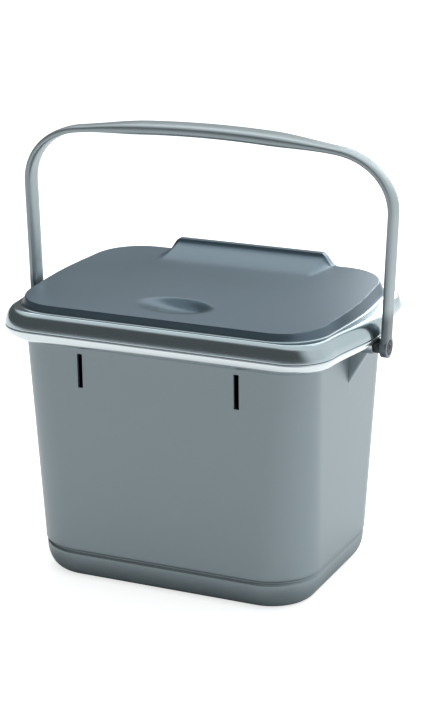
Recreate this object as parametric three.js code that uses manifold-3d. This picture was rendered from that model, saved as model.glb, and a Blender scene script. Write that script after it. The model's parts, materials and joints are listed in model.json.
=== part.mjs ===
// Kitchen food waste caddy: a moulded bucket with a hinged lid and a swinging carry handle.
// Millimetres. X runs across the width, Y from the front (minus) to the back, Z up from the base.
import * as THREE from "three";
import { mergeVertices } from "three/addons/utils/BufferGeometryUtils.js";
import Module from "manifold-3d";

const wasm = await Module();
wasm.setup();

// Plan of the rim, seen from above
const rimWidth = 268;
const rimDepth = 205;
const rimCorner = 32;
const earReach = 10; // how far the rim's sides swell out to the handle's pivots
const earHalfLength = 78;

// Bucket
const wall = 2.4;
const floorThickness = 2.8;
const bodyTop = 192.5; // where the wall turns out into the collar
const bodyCorner = 29; // plan corner just under the collar
const footCorner = 40; // plan corner at the crease
const bodyTaper = 5; // what each wall leans in between the collar and the crease
const creaseHeight = 23;
const creaseStep = 0.7;
const footTuck = 12.4; // how far the base is drawn in below the crease
const collarReach = 13.2;
const collarRise = 10.5;
const upstandHeight = 6; // the thin rim that stands inside the lid's skirt
const upstandGap = 1.2; // between it and the skirt's foot, because the skirt curves in over it

// Front slots
const slotSpacing = 129;
const slotWidth = 4.2;
const slotBottom = 160;
const slotTop = 187;

// Lid
const lidWall = 2.4;
const skirtThickness = 2.2;
const skirtHeight = 13.1;
const skirtLean = 1.2; // how far the skirt leans in over its whole height
const noseReach = 4.2; // how far its rounded nose curves in on top of that
const flangeWidth = 0.6;
const platformRiseFront = 6.1;
const platformRiseRear = 11.7;
const bevelRunShare = 0.65; // how far the bevel leans in, as a share of its rise
const platformCorner = 36; // plan corner of the platform's edge
const platformSwellShare = 0.4; // how much of the ears' swelling the platform takes
const platformCrown = 1.6;
const skirtGap = 0.4;

// Thumb dimple in the lid
const dimpleLength = 64;
const dimpleWidth = 38;
const dimpleDepth = 6.5;
const dimpleFromFront = 45;

// Raised hood at the back of the lid
const hoodWidth = 144;
const hoodSideRun = 9;
const hoodLength = 60;
const hoodRearInset = 8.5;
const hoodScoopRise = 3.6;
const hoodLipHeight = 6.2;
const hoodLipDepth = 10;
const hoodLipLean = 1.2;
const hoodSink = 0.8; // how deep the hood's edges lie in the lid's plate

// Lid hinge
const hingeSpacing = 110;
const hingeSetback = 6.6; // from the skirt's outer face to the hinge axis
const pinRadius = 1.9;
const knuckleRadius = 5;
const knuckleLength = 16;
const lugLength = 7;
const lugGap = 0.5;
const lugDepth = 9;
const runningGap = 0.3;

// Handle and its pivot studs
const pivotDrop = 8.7; // from the collar's ledge down to the pivots
const earClearance = 1.75; // between an ear and the handle's arm
const handleRise = 152.6; // from the pivots up to the centre line of the bar's middle
const handleFlare = 3.4; // how far each arm leans out on its way up
const handleArch = 12.5;
const handleCorner = 44;
const armWidth = 16.5;
const armThickness = 5.5;
const gripWidth = 25;
const gripThickness = 9;
const gripHalfLength = 52;
const gripBlend = 54;
const hubRadius = 8.4;
const studRadius = 3.2;
const studHeadRadius = 5.4;
const studHeadThickness = 1.8;
const studDepth = 6.5;
const studShoulderRadius = 5.6; // the part that shows between a boss and the handle
const studShoulderLength = 5.65;
const bossRadius = 6.5;
const gussetWidth = 6;
const gussetDrop = 27.4;
const gussetReach = 13.5;
const sectionRoundShare = 0.6; // 1 is an oval section, less is squarer
const circlePullShare = 0.5523; // how far a quarter circle's curve handles reach, in radii

// Numbers of steps
const cornerSteps = 7;
const sideSteps = 14;
const frontSteps = 4;
const collarSteps = 6;
const footSteps = 5;
const noseSteps = 6;
const circleSteps = 20;
const armSteps = 5;
const bendSteps = 10;
const barSteps = 18;
const sectionSteps = 12;
const bowlSteps = 6;
const bowlSides = 32;
const scoopSteps = 6;
const crownSteps = 3;

// Places worked out from the sizes above
const overrun = 2 * wall;
const ledgeHeight = bodyTop + collarRise;
const rimTop = ledgeHeight + upstandHeight;
const skirtBottom = ledgeHeight + skirtGap;
const flangeHeight = skirtBottom + skirtHeight;
const upstandInset = skirtThickness + upstandGap;
const bevelFootInset = skirtLean + noseReach + flangeWidth;
const hingeY = rimDepth / 2 + hingeSetback;
const hingeZ = ledgeHeight + runningGap;
const pivotHeight = ledgeHeight - pivotDrop;
const armInner = rimWidth / 2 + earReach + earClearance;
const armOuter = armInner + armThickness;
const pivotHalfSpan = armInner + armThickness / 2;
const handleHalfSpan = pivotHalfSpan + handleFlare;
const handleTop = pivotHeight + handleRise;
const shoulderEnd = armInner - runningGap;
const shoulderStart = shoulderEnd - studShoulderLength;
const bossEnd = shoulderStart - runningGap;
const hoodRear = rimDepth / 2 - hoodRearInset;
const hoodFront = hoodRear - hoodLength;

const lerp = THREE.MathUtils.lerp;
const plastic = { roughness: 0.42, metalness: 0 };
const nylon = { roughness: 0.55, metalness: 0 };

// One closed run of points round the rim's plan, drawn in by an inset, with the ears swelled out.
function planOutline(inset, corner, swellShare) {
  const halfX = rimWidth / 2 - inset;
  const halfY = rimDepth / 2 - inset;
  const turns = [
    { x: 1, y: -1, start: -90, steps: sideSteps },
    { x: 1, y: 1, start: 0, steps: frontSteps },
    { x: -1, y: 1, start: 90, steps: sideSteps },
    { x: -1, y: -1, start: 180, steps: frontSteps },
  ];
  const arcs = turns.map((turn) => {
    const arc = [];
    for (let step = 0; step <= cornerSteps; step += 1) {
      const angle = THREE.MathUtils.degToRad(turn.start + (90 * step) / cornerSteps);
      const x = turn.x * (halfX - corner) + corner * Math.cos(angle);
      const y = turn.y * (halfY - corner) + corner * Math.sin(angle);
      arc.push(new THREE.Vector2(x, y));
    }
    return arc;
  });
  const points = [];
  arcs.forEach((arc, index) => {
    points.push(...arc);
    const from = arc[cornerSteps];
    const to = arcs[(index + 1) % arcs.length][0];
    for (let step = 1; step < turns[index].steps; step += 1) {
      points.push(from.clone().lerp(to, step / turns[index].steps));
    }
  });
  points.forEach((point) => {
    if (Math.abs(point.y) < earHalfLength) {
      const wave = Math.cos((Math.PI * point.y) / (2 * earHalfLength));
      point.x += Math.sign(point.x) * earReach * swellShare * wave * wave;
    }
  });
  return points;
}

// Lifts an outline to a height, which is a number or a function of the place.
function ring(outline, height) {
  return outline.map((point) => {
    const z = typeof height === "function" ? height(point.x, point.y) : height;
    return new THREE.Vector3(point.x, point.y, z);
  });
}

// A closed surface over a row of rings, with a fan to a pole at each end.
function loft(rings, firstPole, lastPole) {
  const count = rings[0].length;
  const vertices = rings.flat();
  const faces = [];
  const first = vertices.push(firstPole) - 1;
  const last = vertices.push(lastPole) - 1;
  const lastRow = (rings.length - 1) * count;
  for (let i = 0; i < count; i += 1) {
    const next = (i + 1) % count;
    faces.push(first, next, i);
    faces.push(lastRow + i, lastRow + next, last);
    for (let row = 0; row < lastRow; row += count) {
      faces.push(row + i, row + next, row + count + next);
      faces.push(row + i, row + count + next, row + count + i);
    }
  }
  const geometry = new THREE.BufferGeometry().setFromPoints(vertices);
  geometry.setIndex(faces);
  return geometry;
}

// A closed surface over sections that share one outline, with flat ends.
function skin(sections, outline) {
  const count = outline.length;
  const faces = [];
  const lastRow = (sections.length - 1) * count;
  const clockwise = THREE.ShapeUtils.isClockWise(outline);
  THREE.ShapeUtils.triangulateShape(outline, []).forEach((triangle) => {
    const turned = THREE.ShapeUtils.isClockWise(triangle.map((index) => outline[index])) !== clockwise;
    const [a, b, c] = turned ? [...triangle].reverse() : triangle;
    faces.push(c, b, a);
    faces.push(lastRow + a, lastRow + b, lastRow + c);
  });
  for (let row = 0; row < lastRow; row += count) {
    for (let i = 0; i < count; i += 1) {
      const next = (i + 1) % count;
      faces.push(row + i, row + next, row + count + next);
      faces.push(row + i, row + count + next, row + count + i);
    }
  }
  const geometry = new THREE.BufferGeometry().setFromPoints(sections.flat());
  geometry.setIndex(faces);
  return geometry;
}

// Turns a closed geometry into a solid that can be cut and joined.
function toSolid(geometry) {
  const bare = geometry.clone();
  bare.deleteAttribute("normal");
  bare.deleteAttribute("uv");
  const merged = mergeVertices(bare);
  return new wasm.Manifold(new wasm.Mesh({
    numProp: 3,
    vertProperties: new Float32Array(merged.attributes.position.array),
    triVerts: new Uint32Array(merged.index.array),
  }));
}

// Turns a solid back into a geometry.
function toGeometry(solid) {
  const mesh = solid.getMesh();
  const geometry = new THREE.BufferGeometry();
  geometry.setAttribute("position", new THREE.BufferAttribute(new Float32Array(mesh.vertProperties), 3));
  geometry.setIndex(new THREE.BufferAttribute(new Uint32Array(mesh.triVerts), 1));
  geometry.computeVertexNormals();
  return geometry;
}

// A round bar along X between two places.
function barAlongX(radius, fromX, toX, y, z) {
  const bar = new THREE.CylinderGeometry(radius, radius, Math.abs(toX - fromX), circleSteps);
  bar.rotateZ(Math.PI / 2);
  bar.translate((fromX + toX) / 2, y, z);
  return bar;
}

// A prism whose outline is drawn in Y and Z and which runs along X about a middle.
function prismAlongX(corners, middleX, length) {
  const shape = new THREE.Shape(corners.map(([y, z]) => new THREE.Vector2(y, z)));
  const prism = new THREE.ExtrudeGeometry(shape, { depth: length, bevelEnabled: false });
  prism.rotateX(Math.PI / 2);
  prism.rotateZ(Math.PI / 2);
  prism.translate(middleX - length / 2, 0, 0);
  return prism;
}

// A prism whose outline is drawn in X and Z and which runs along Y about a middle.
function prismAlongY(corners, middleY, length) {
  const shape = new THREE.Shape(corners.map(([x, z]) => new THREE.Vector2(x, z)));
  const prism = new THREE.ExtrudeGeometry(shape, { depth: length, bevelEnabled: false });
  prism.rotateX(Math.PI / 2);
  prism.translate(0, middleY + length / 2, 0);
  return prism;
}

// The bucket's outer skin from the base up to the ledge, and on up the thin upstand.
function bucketOutside() {
  const rows = [];
  const creaseInset = collarReach + bodyTaper;
  for (let step = 0; step <= footSteps; step += 1) {
    const angle = (Math.PI / 2) * (step / footSteps);
    const tuck = footTuck * (1 - Math.sin(angle));
    const inset = creaseInset + creaseStep + tuck;
    const height = creaseHeight * (1 - Math.cos(angle));
    rows.push(ring(planOutline(inset, footCorner - tuck, 0), height));
  }
  rows.push(ring(planOutline(creaseInset, footCorner, 0), creaseHeight + creaseStep));
  for (let step = 0; step <= collarSteps; step += 1) {
    const angle = (Math.PI / 2) * (step / collarSteps);
    const share = Math.sin(angle);
    const corner = lerp(bodyCorner, rimCorner, share);
    const height = bodyTop + collarRise * (1 - Math.cos(angle));
    rows.push(ring(planOutline(collarReach * (1 - share), corner, share), height));
  }
  const upstandCorner = rimCorner - upstandInset;
  rows.push(ring(planOutline(upstandInset, upstandCorner, 1), ledgeHeight));
  rows.push(ring(planOutline(upstandInset, upstandCorner, 1), rimTop));
  return loft(rows, new THREE.Vector3(0, 0, 0), new THREE.Vector3(0, 0, rimTop));
}

// The hollow inside the bucket, open upwards.
function bucketInside() {
  const rows = [];
  const innerFoot = collarReach + bodyTaper + wall;
  const innerCorner = bodyCorner - wall;
  for (let step = 0; step <= footSteps; step += 1) {
    const angle = (Math.PI / 2) * (step / footSteps);
    const tuck = footTuck * (1 - Math.sin(angle));
    const height = floorThickness + (creaseHeight - floorThickness) * (1 - Math.cos(angle));
    rows.push(ring(planOutline(innerFoot + creaseStep + tuck, footCorner - wall - tuck, 0), height));
  }
  const topInset = upstandInset + wall;
  for (let step = 0; step <= collarSteps; step += 1) {
    const angle = (Math.PI / 2) * (step / collarSteps);
    const share = Math.sin(angle);
    const inset = lerp(collarReach + wall, topInset, share);
    const corner = lerp(innerCorner, rimCorner - topInset, share);
    const height = bodyTop + collarRise * (1 - Math.cos(angle));
    rows.push(ring(planOutline(inset, corner, share), height));
  }
  rows.push(ring(planOutline(topInset, rimCorner - topInset, 1), rimTop + overrun));
  const bottom = new THREE.Vector3(0, 0, floorThickness);
  return loft(rows, bottom, new THREE.Vector3(0, 0, rimTop + overrun));
}

// The boss and gusset that carry one end of the handle.
function handleSeat(side) {
  const wallX = rimWidth / 2 - collarReach;
  const bossStart = wallX - wall / 2;
  const boss = barAlongX(bossRadius, side * bossStart, side * bossEnd, 0, pivotHeight);
  const low = pivotHeight - bossRadius - gussetDrop;
  const high = pivotHeight - bossRadius / 2;
  const knee = pivotHeight - bossRadius;
  const foot = wallX - wall;
  const tip = wallX + gussetReach;
  const corners = [[foot, low], [tip, knee], [tip, high], [foot, high]];
  const gusset = prismAlongY(corners.map(([x, z]) => [side * x, z]), 0, gussetWidth);
  return toSolid(boss).add(toSolid(gusset));
}

// The two lugs that hold one hinge pin.
function hingeLugs(side) {
  const middle = (side * hingeSpacing) / 2;
  const offset = (knuckleLength + lugLength) / 2 + lugGap;
  const backY = rimDepth / 2;
  const web = [
    [backY - upstandInset, ledgeHeight],
    [backY - upstandInset, ledgeHeight - lugDepth],
    [hingeY, hingeZ - knuckleRadius],
    [hingeY + knuckleRadius / 2, hingeZ - knuckleRadius / 2],
    [hingeY, ledgeHeight],
  ];
  const lugs = [-offset, offset].map((shift) => {
    const x = middle + shift;
    const barrel = barAlongX(knuckleRadius, x - lugLength / 2, x + lugLength / 2, hingeY, hingeZ);
    return toSolid(barrel).add(toSolid(prismAlongX(web, x, lugLength)));
  });
  return lugs[0].add(lugs[1]);
}

function makeBucket() {
  let bucket = toSolid(bucketOutside());
  [-1, 1].forEach((side) => {
    bucket = bucket.add(handleSeat(side)).add(hingeLugs(side));
  });
  bucket = bucket.subtract(toSolid(bucketInside()));
  [-1, 1].forEach((side) => {
    const boreStart = side * (bossEnd - studDepth - runningGap);
    const bore = barAlongX(studRadius + runningGap, boreStart, side * (bossEnd + overrun), 0, pivotHeight);
    const scallopRadius = studShoulderRadius + runningGap;
    const scallop = barAlongX(scallopRadius, side * bossEnd, side * armOuter, 0, pivotHeight);
    const hingeX = (side * hingeSpacing) / 2;
    const reach = knuckleLength / 2 + lugGap + lugLength + overrun;
    const pinBore = barAlongX(pinRadius + runningGap, hingeX - reach, hingeX + reach, hingeY, hingeZ);
    bucket = bucket.subtract(toSolid(bore)).subtract(toSolid(scallop)).subtract(toSolid(pinBore));
    const slot = new THREE.BoxGeometry(slotWidth, 2 * overrun, slotTop - slotBottom);
    const slotY = -(rimDepth / 2 - collarReach);
    slot.translate((side * slotSpacing) / 2, slotY, (slotTop + slotBottom) / 2);
    bucket = bucket.subtract(toSolid(slot));
  });
  return toGeometry(bucket);
}

// Height of the lid's top at a place: it rises to the back and is slightly crowned.
function platformRise(y) {
  const front = -(rimDepth / 2 - bevelFootInset);
  const share = THREE.MathUtils.clamp((y - front) / (-2 * front), 0, 1);
  return lerp(platformRiseFront, platformRiseRear, share);
}

function platformTop(x, y) {
  const acrossShare = x / (rimWidth / 2 - bevelFootInset);
  const alongShare = y / (rimDepth / 2 - bevelFootInset);
  const crown = platformCrown * (1 - acrossShare * acrossShare) * (1 - alongShare * alongShare);
  return flangeHeight + platformRise(y) + Math.max(crown, 0);
}

// Rings from the platform's edge in towards the middle, lowered by a thickness.
function platformRings(thickness, extraInset) {
  const footInset = bevelFootInset + extraInset;
  const fullRun = bevelRunShare * platformRiseRear;
  const foot = planOutline(footInset, platformCorner, platformSwellShare);
  const full = planOutline(footInset + fullRun, platformCorner, platformSwellShare);
  const edge = foot.map((point, index) => {
    const share = platformRise(point.y) / platformRiseRear;
    return point.clone().lerp(full[index], share);
  });
  const rings = [];
  for (let step = 0; step < crownSteps; step += 1) {
    const share = 1 - step / crownSteps;
    const outline = edge.map((point) => point.clone().multiplyScalar(share));
    rings.push(ring(outline, (x, y) => platformTop(x, y) - thickness));
  }
  return rings;
}

// Rings up the skirt's rounded nose, from its foot to its crest, set in by a thickness.
function noseRings(thickness) {
  const rings = [];
  const high = skirtHeight - thickness;
  for (let step = 0; step <= noseSteps; step += 1) {
    const angle = (Math.PI / 2) * (step / noseSteps);
    const rise = high * Math.sin(angle);
    const curve = (noseReach - thickness) * (1 - Math.cos(angle));
    const inset = thickness + skirtLean * (rise / skirtHeight) + curve;
    rings.push(ring(planOutline(inset, rimCorner - inset, 1), skirtBottom + rise));
  }
  return rings;
}

// The lid's plate and skirt, as one closed surface from its underside round to its top.
function lidShell() {
  const innerFoot = lidWall / 3;
  const rows = platformRings(lidWall, innerFoot).reverse();
  const innerFootInset = bevelFootInset + innerFoot;
  const innerFootOutline = planOutline(innerFootInset, platformCorner, platformSwellShare);
  rows.push(ring(innerFootOutline, flangeHeight - skirtThickness));
  rows.push(...noseRings(skirtThickness).reverse());
  rows.push(...noseRings(0));
  rows.push(ring(planOutline(bevelFootInset, platformCorner, platformSwellShare), flangeHeight));
  rows.push(...platformRings(0, 0));
  const underPole = new THREE.Vector3(0, 0, platformTop(0, 0) - lidWall);
  return loft(rows, underPole, new THREE.Vector3(0, 0, platformTop(0, 0)));
}

// The hood's outline in Y and Z, set in by a thickness: a scoop that rises to a lip at the back.
function hoodProfile(thickness) {
  const points = [];
  const front = hoodFront + thickness;
  const lipFoot = hoodRear - hoodLipDepth + thickness;
  const scoopTop = platformTop(0, lipFoot) + hoodScoopRise - thickness;
  const lipTop = scoopTop + hoodLipHeight;
  for (let step = 0; step <= scoopSteps; step += 1) {
    const share = step / scoopSteps;
    const y = lerp(front, lipFoot, share);
    const rise = (hoodScoopRise + hoodSink) * share * share - hoodSink;
    points.push([y, platformTop(0, y) - thickness + rise]);
  }
  points.push([lipFoot + hoodLipLean, lipTop]);
  points.push([hoodRear - thickness - hoodLipLean, lipTop]);
  points.push([hoodRear - thickness, lipTop - hoodLipLean]);
  points.push([hoodRear + hoodLipLean - thickness, flangeHeight + hoodLipLean]);
  return points;
}

// The hood as a solid: its profile swept across the lid, sloping down at both sides.
function hoodSolid(thickness, depthBelow) {
  const profile = hoodProfile(thickness);
  const half = hoodWidth / 2 - thickness;
  const stations = [
    { x: half, share: 0 },
    { x: half - hoodSideRun, share: 1 },
    { x: -(half - hoodSideRun), share: 1 },
    { x: -half, share: 0 },
  ];
  const plateTop = (x, y) => platformTop(x, Math.min(y, hoodRear)) - hoodSink;
  const sections = stations.map(({ x, share }) => {
    const top = [];
    const low = [];
    profile.forEach(([y, z]) => {
      const plate = Math.min(z, plateTop(x, y));
      top.push(new THREE.Vector3(x, y, lerp(plate, z, share)));
      low.push(new THREE.Vector3(x, y, plate - depthBelow));
    });
    return [...top, ...low.reverse()];
  });
  const outline = sections[1].map((point) => new THREE.Vector2(point.y, point.z));
  return toSolid(skin(sections, outline));
}

// The knuckle that turns on one hinge pin, with the web that ties it to the skirt.
function lidKnuckle(side) {
  const x = (side * hingeSpacing) / 2;
  const barrel = barAlongX(knuckleRadius, x - knuckleLength / 2, x + knuckleLength / 2, hingeY, hingeZ);
  const skirtY = rimDepth / 2 - skirtThickness / 2;
  const web = [
    [skirtY, hingeZ + knuckleRadius],
    [skirtY, skirtBottom],
    [hingeY, skirtBottom],
    [hingeY + knuckleRadius / 2, hingeZ + knuckleRadius / 2],
    [hingeY, hingeZ + knuckleRadius],
  ];
  return toSolid(barrel).add(toSolid(prismAlongX(web, x, knuckleLength)));
}

// Half an oval bowl, open side up, with its wall carried straight up by a share of its depth.
function bowl(length, width, depth, collarShare, x, y, z) {
  const profile = [new THREE.Vector2(0, -1)];
  for (let step = 1; step <= bowlSteps; step += 1) {
    const angle = (Math.PI / 2) * (step / bowlSteps);
    profile.push(new THREE.Vector2(Math.sin(angle), -Math.cos(angle)));
  }
  if (collarShare > 0) {
    profile.push(new THREE.Vector2(1, collarShare));
  }
  profile.push(new THREE.Vector2(0, collarShare));
  const shape = new THREE.LatheGeometry(profile, bowlSides);
  shape.rotateX(Math.PI / 2);
  shape.scale(length / 2, width / 2, depth);
  shape.translate(x, y, z);
  return shape;
}

function makeLid() {
  let lid = toSolid(lidShell());
  lid = lid.add(hoodSolid(0, lidWall - 2 * hoodSink));
  lid = lid.subtract(hoodSolid(lidWall, lidWall));
  const dimpleY = dimpleFromFront - rimDepth / 2;
  const dimpleZ = platformTop(0, dimpleY);
  const outerLength = dimpleLength + 2 * lidWall;
  const outerWidth = dimpleWidth + 2 * lidWall;
  const outer = bowl(outerLength, outerWidth, dimpleDepth, 0, 0, dimpleY, dimpleZ - lidWall);
  const cut = bowl(dimpleLength, dimpleWidth, dimpleDepth, 1, 0, dimpleY, dimpleZ);
  lid = lid.add(toSolid(outer)).subtract(toSolid(cut));
  [-1, 1].forEach((side) => {
    const x = (side * hingeSpacing) / 2;
    const reach = knuckleLength / 2 + overrun;
    const bore = barAlongX(pinRadius + runningGap, x - reach, x + reach, hingeY, hingeZ);
    lid = lid.add(lidKnuckle(side)).subtract(toSolid(bore));
  });
  return toGeometry(lid);
}

function makeHingePin() {
  const half = knuckleLength / 2 + lugGap + lugLength;
  return barAlongX(pinRadius, -half, half, 0, 0);
}

// The handle's centre line in X and Z, from the left pivot over the bar to the right pivot.
function handlePath() {
  const barStart = handleHalfSpan - handleCorner;
  const barHeight = (x) => handleTop - handleArch * (x / handleHalfSpan) ** 2;
  const slope = (2 * handleArch * barStart) / handleHalfSpan ** 2;
  const armEnd = barHeight(barStart) - handleCorner;
  const pull = circlePullShare * handleCorner;
  const bend = new THREE.CubicBezierCurve(
    new THREE.Vector2(handleHalfSpan, armEnd),
    new THREE.Vector2(handleHalfSpan, armEnd + pull),
    new THREE.Vector2(barStart + pull, barHeight(barStart) - slope * pull),
    new THREE.Vector2(barStart, barHeight(barStart)),
  );
  const right = [];
  for (let step = 0; step < armSteps; step += 1) {
    const share = step / armSteps;
    const x = lerp(pivotHalfSpan, handleHalfSpan, share);
    right.push(new THREE.Vector2(x, lerp(pivotHeight, armEnd, share)));
  }
  right.push(...bend.getPoints(bendSteps));
  const bar = [];
  for (let step = 1; step < barSteps; step += 1) {
    const x = lerp(-barStart, barStart, step / barSteps);
    bar.push(new THREE.Vector2(x, barHeight(x)));
  }
  const left = right.map((point) => new THREE.Vector2(-point.x, point.y));
  return [...left, ...bar, ...right.reverse()];
}

// A strap section with soft corners: its thickness lies across the path, its width along Y.
function strapSection(place, across, width, thickness) {
  const points = [];
  for (let step = 0; step < sectionSteps; step += 1) {
    const angle = (2 * Math.PI * step) / sectionSteps;
    const cos = Math.cos(angle);
    const sin = Math.sin(angle);
    const u = (Math.sign(cos) * Math.abs(cos) ** sectionRoundShare * thickness) / 2;
    const v = (Math.sign(sin) * Math.abs(sin) ** sectionRoundShare * width) / 2;
    points.push(new THREE.Vector3(place.x + across.x * u, v, place.y + across.y * u));
  }
  return points;
}

function makeHandle() {
  const path = handlePath();
  const sections = path.map((place, index) => {
    const before = path[Math.max(index - 1, 0)];
    const after = path[Math.min(index + 1, path.length - 1)];
    const along = after.clone().sub(before).normalize();
    const across = new THREE.Vector2(along.y, -along.x);
    const gripEnd = gripHalfLength + gripBlend;
    const share = 1 - THREE.MathUtils.smoothstep(Math.abs(place.x), gripHalfLength, gripEnd);
    const width = lerp(armWidth, gripWidth, share);
    return strapSection(place, across, width, lerp(armThickness, gripThickness, share));
  });
  const outline = [];
  for (let step = 0; step < sectionSteps; step += 1) {
    const angle = (2 * Math.PI * step) / sectionSteps;
    outline.push(new THREE.Vector2(Math.cos(angle), Math.sin(angle)));
  }
  let handle = toSolid(skin(sections, outline));
  [-1, 1].forEach((side) => {
    const outside = side * (armOuter + overrun);
    const hub = barAlongX(hubRadius, side * armInner, side * armOuter, 0, pivotHeight);
    const boreStart = side * (armInner - overrun);
    const bore = barAlongX(studRadius + runningGap, boreStart, outside, 0, pivotHeight);
    const seatStart = side * (armOuter - studHeadThickness - runningGap);
    const seat = barAlongX(studHeadRadius + runningGap, seatStart, outside, 0, pivotHeight);
    handle = handle.add(toSolid(hub)).subtract(toSolid(bore)).subtract(toSolid(seat));
  });
  return toGeometry(handle);
}

// A pivot stud: a shaft into the bucket's boss, a shoulder, and a flat head let into the handle.
function makeStud(side) {
  const headStart = armOuter - studHeadThickness;
  const shaftEnd = headStart + studHeadThickness / 2;
  const shaft = barAlongX(studRadius, side * (bossEnd - studDepth), side * shaftEnd, 0, 0);
  const shoulder = barAlongX(studShoulderRadius, side * shoulderStart, side * shoulderEnd, 0, 0);
  const head = barAlongX(studHeadRadius, side * headStart, side * armOuter, 0, 0);
  return toGeometry(toSolid(shaft).add(toSolid(shoulder)).add(toSolid(head)));
}

const caddy = new THREE.Group();

function addPiece(name, geometry, colour, finish) {
  const material = new THREE.MeshStandardMaterial({ color: colour, ...finish });
  const piece = new THREE.Mesh(geometry, material);
  piece.name = name;
  caddy.add(piece);
  return piece;
}

addPiece("bucket", makeBucket(), 0x8b999f, plastic);
addPiece("lid", makeLid(), 0x7d8c95, plastic);
addPiece("handle", makeHandle(), 0x93a1a6, plastic);
[["left", -1], ["right", 1]].forEach(([word, side]) => {
  const stud = addPiece(`pivot_stud_${word}`, makeStud(side), 0x3c454c, nylon);
  stud.position.set(0, 0, pivotHeight);
  const pin = addPiece(`hinge_pin_${word}`, makeHingePin(), 0x8b999f, plastic);
  pin.position.set((side * hingeSpacing) / 2, hingeY, hingeZ);
});

export default caddy;
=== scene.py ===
"""Looks of the kitchen food waste caddy: bucket, lid, carry handle, pivot studs and hinge pins.

Every length is in metres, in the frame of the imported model: X across, Y towards the hinge, Z up.
"""
import json
import logging
import math
from dataclasses import dataclass
from enum import Enum
from typing import Iterable, NamedTuple, Optional, Sequence, Union

import bmesh
import bpy
import numpy as np
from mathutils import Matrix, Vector


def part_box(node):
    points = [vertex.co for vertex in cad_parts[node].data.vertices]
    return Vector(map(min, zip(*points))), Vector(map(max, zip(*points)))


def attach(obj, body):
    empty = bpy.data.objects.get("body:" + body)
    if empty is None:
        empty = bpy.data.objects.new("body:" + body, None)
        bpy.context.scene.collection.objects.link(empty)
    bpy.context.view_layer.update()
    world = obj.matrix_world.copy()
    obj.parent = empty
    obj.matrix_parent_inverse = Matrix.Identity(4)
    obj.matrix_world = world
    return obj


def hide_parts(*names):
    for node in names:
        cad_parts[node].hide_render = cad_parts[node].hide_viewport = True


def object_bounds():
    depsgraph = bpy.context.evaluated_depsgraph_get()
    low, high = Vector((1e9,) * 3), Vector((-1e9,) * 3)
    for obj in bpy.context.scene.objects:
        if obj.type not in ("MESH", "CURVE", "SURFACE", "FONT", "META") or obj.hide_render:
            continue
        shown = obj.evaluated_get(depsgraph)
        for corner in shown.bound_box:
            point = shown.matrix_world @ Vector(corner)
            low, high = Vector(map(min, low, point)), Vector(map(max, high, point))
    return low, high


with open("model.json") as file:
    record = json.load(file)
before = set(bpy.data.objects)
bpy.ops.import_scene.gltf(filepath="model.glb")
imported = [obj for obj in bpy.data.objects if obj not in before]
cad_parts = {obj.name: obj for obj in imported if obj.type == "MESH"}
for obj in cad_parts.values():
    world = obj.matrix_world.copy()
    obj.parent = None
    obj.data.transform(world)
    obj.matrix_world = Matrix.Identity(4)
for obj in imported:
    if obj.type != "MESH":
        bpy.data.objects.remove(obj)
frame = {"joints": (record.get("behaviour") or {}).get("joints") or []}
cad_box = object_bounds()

log = logging.getLogger("caddy")
MERGE_DISTANCE = 1e-6
SHARP_ANGLE = math.radians(45)
SOFT_ANGLE = math.radians(30)
SOFT_STEPS = 3
ROUND_SIDES = 48
ROUND_STEPS = 4
CORNER_SHARE = 0.3
SIDES = (("left", -1), ("right", 1))
Object = bpy.types.Object
Mesh = bpy.types.Mesh
Material = bpy.types.Material
Node = bpy.types.Node
Socket = bpy.types.NodeSocket
SocketOrNumber = Union[Socket, float, int]
Triple = tuple[float, float, float]


class Body(Enum):
    """The bodies that pieces ride on."""

    BUCKET = "bucket_body"
    LID = "lid_body"
    STUDS = "stud_body"
    HANDLE = "handle_body"


class Slot(Enum):
    """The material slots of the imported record."""

    BUCKET = "bucket_plastic"
    LID = "lid_plastic"
    HANDLE = "handle_plastic"
    STUD = "stud_plastic"
    PIN = "pin_plastic"


class Joining(Enum):
    """How a tool shape changes the piece that it meets."""

    ADD = "UNION"
    CUT = "DIFFERENCE"


class PlanStep(NamedTuple):
    """One step round a rounded rectangle: a place along its straight sides and a direction."""

    along_x: float
    along_y: float
    turn_x: float
    turn_y: float


class Row(NamedTuple):
    """One level of a shell: how far its outline is drawn in, its corner, its ears and its height."""

    inset: float
    corner: float
    swell: float
    height: float
    spread: float = 1.0


def joint(name: str) -> dict:
    """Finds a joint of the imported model.

    Args:
        name: The joint's name.

    Returns:
        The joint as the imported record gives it.
    """
    return next(item for item in frame["joints"] if item["name"] == name)


def lerp(start: float, end: float, share: float) -> float:
    """Returns the value at a share of the way from start to end."""
    return start + (end - start) * share


def soft_min(first: np.ndarray, second: np.ndarray, blend: float) -> np.ndarray:
    """Takes the lower of two heights and rounds the edge between them.

    Args:
        first: Heights.
        second: Heights to compare with.
        blend: How close the heights are where the rounding starts.

    Returns:
        The blended heights.
    """
    share = np.clip(blend - np.abs(first - second), 0.0, None) / blend
    return np.minimum(first, second) - share * share * blend / 4


def soft_max(first: np.ndarray, second: np.ndarray, blend: float) -> np.ndarray:
    """Takes the higher of two heights and rounds the edge between them, as soft_min does."""
    return -soft_min(-first, -second, blend)


def smooth_step(value: np.ndarray, start: float, end: float) -> np.ndarray:
    """Runs smoothly from 0 at start to 1 at end."""
    share = np.clip((value - start) / (end - start), 0.0, 1.0)
    return share * share * (3 - 2 * share)


def graded(start: float, stretches: Iterable[tuple[float, float]]) -> list[float]:
    """Lays out lines whose spacing changes from stretch to stretch.

    Args:
        start: The first line.
        stretches: For each stretch, where it ends and about how far apart its lines are.

    Returns:
        The places of the lines, both ends included.
    """
    places = [start]
    for end, spacing in stretches:
        count = max(1, round(abs(end - places[-1]) / spacing))
        places.extend(np.linspace(places[-1], end, count + 1)[1:].tolist())
    return places


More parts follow.
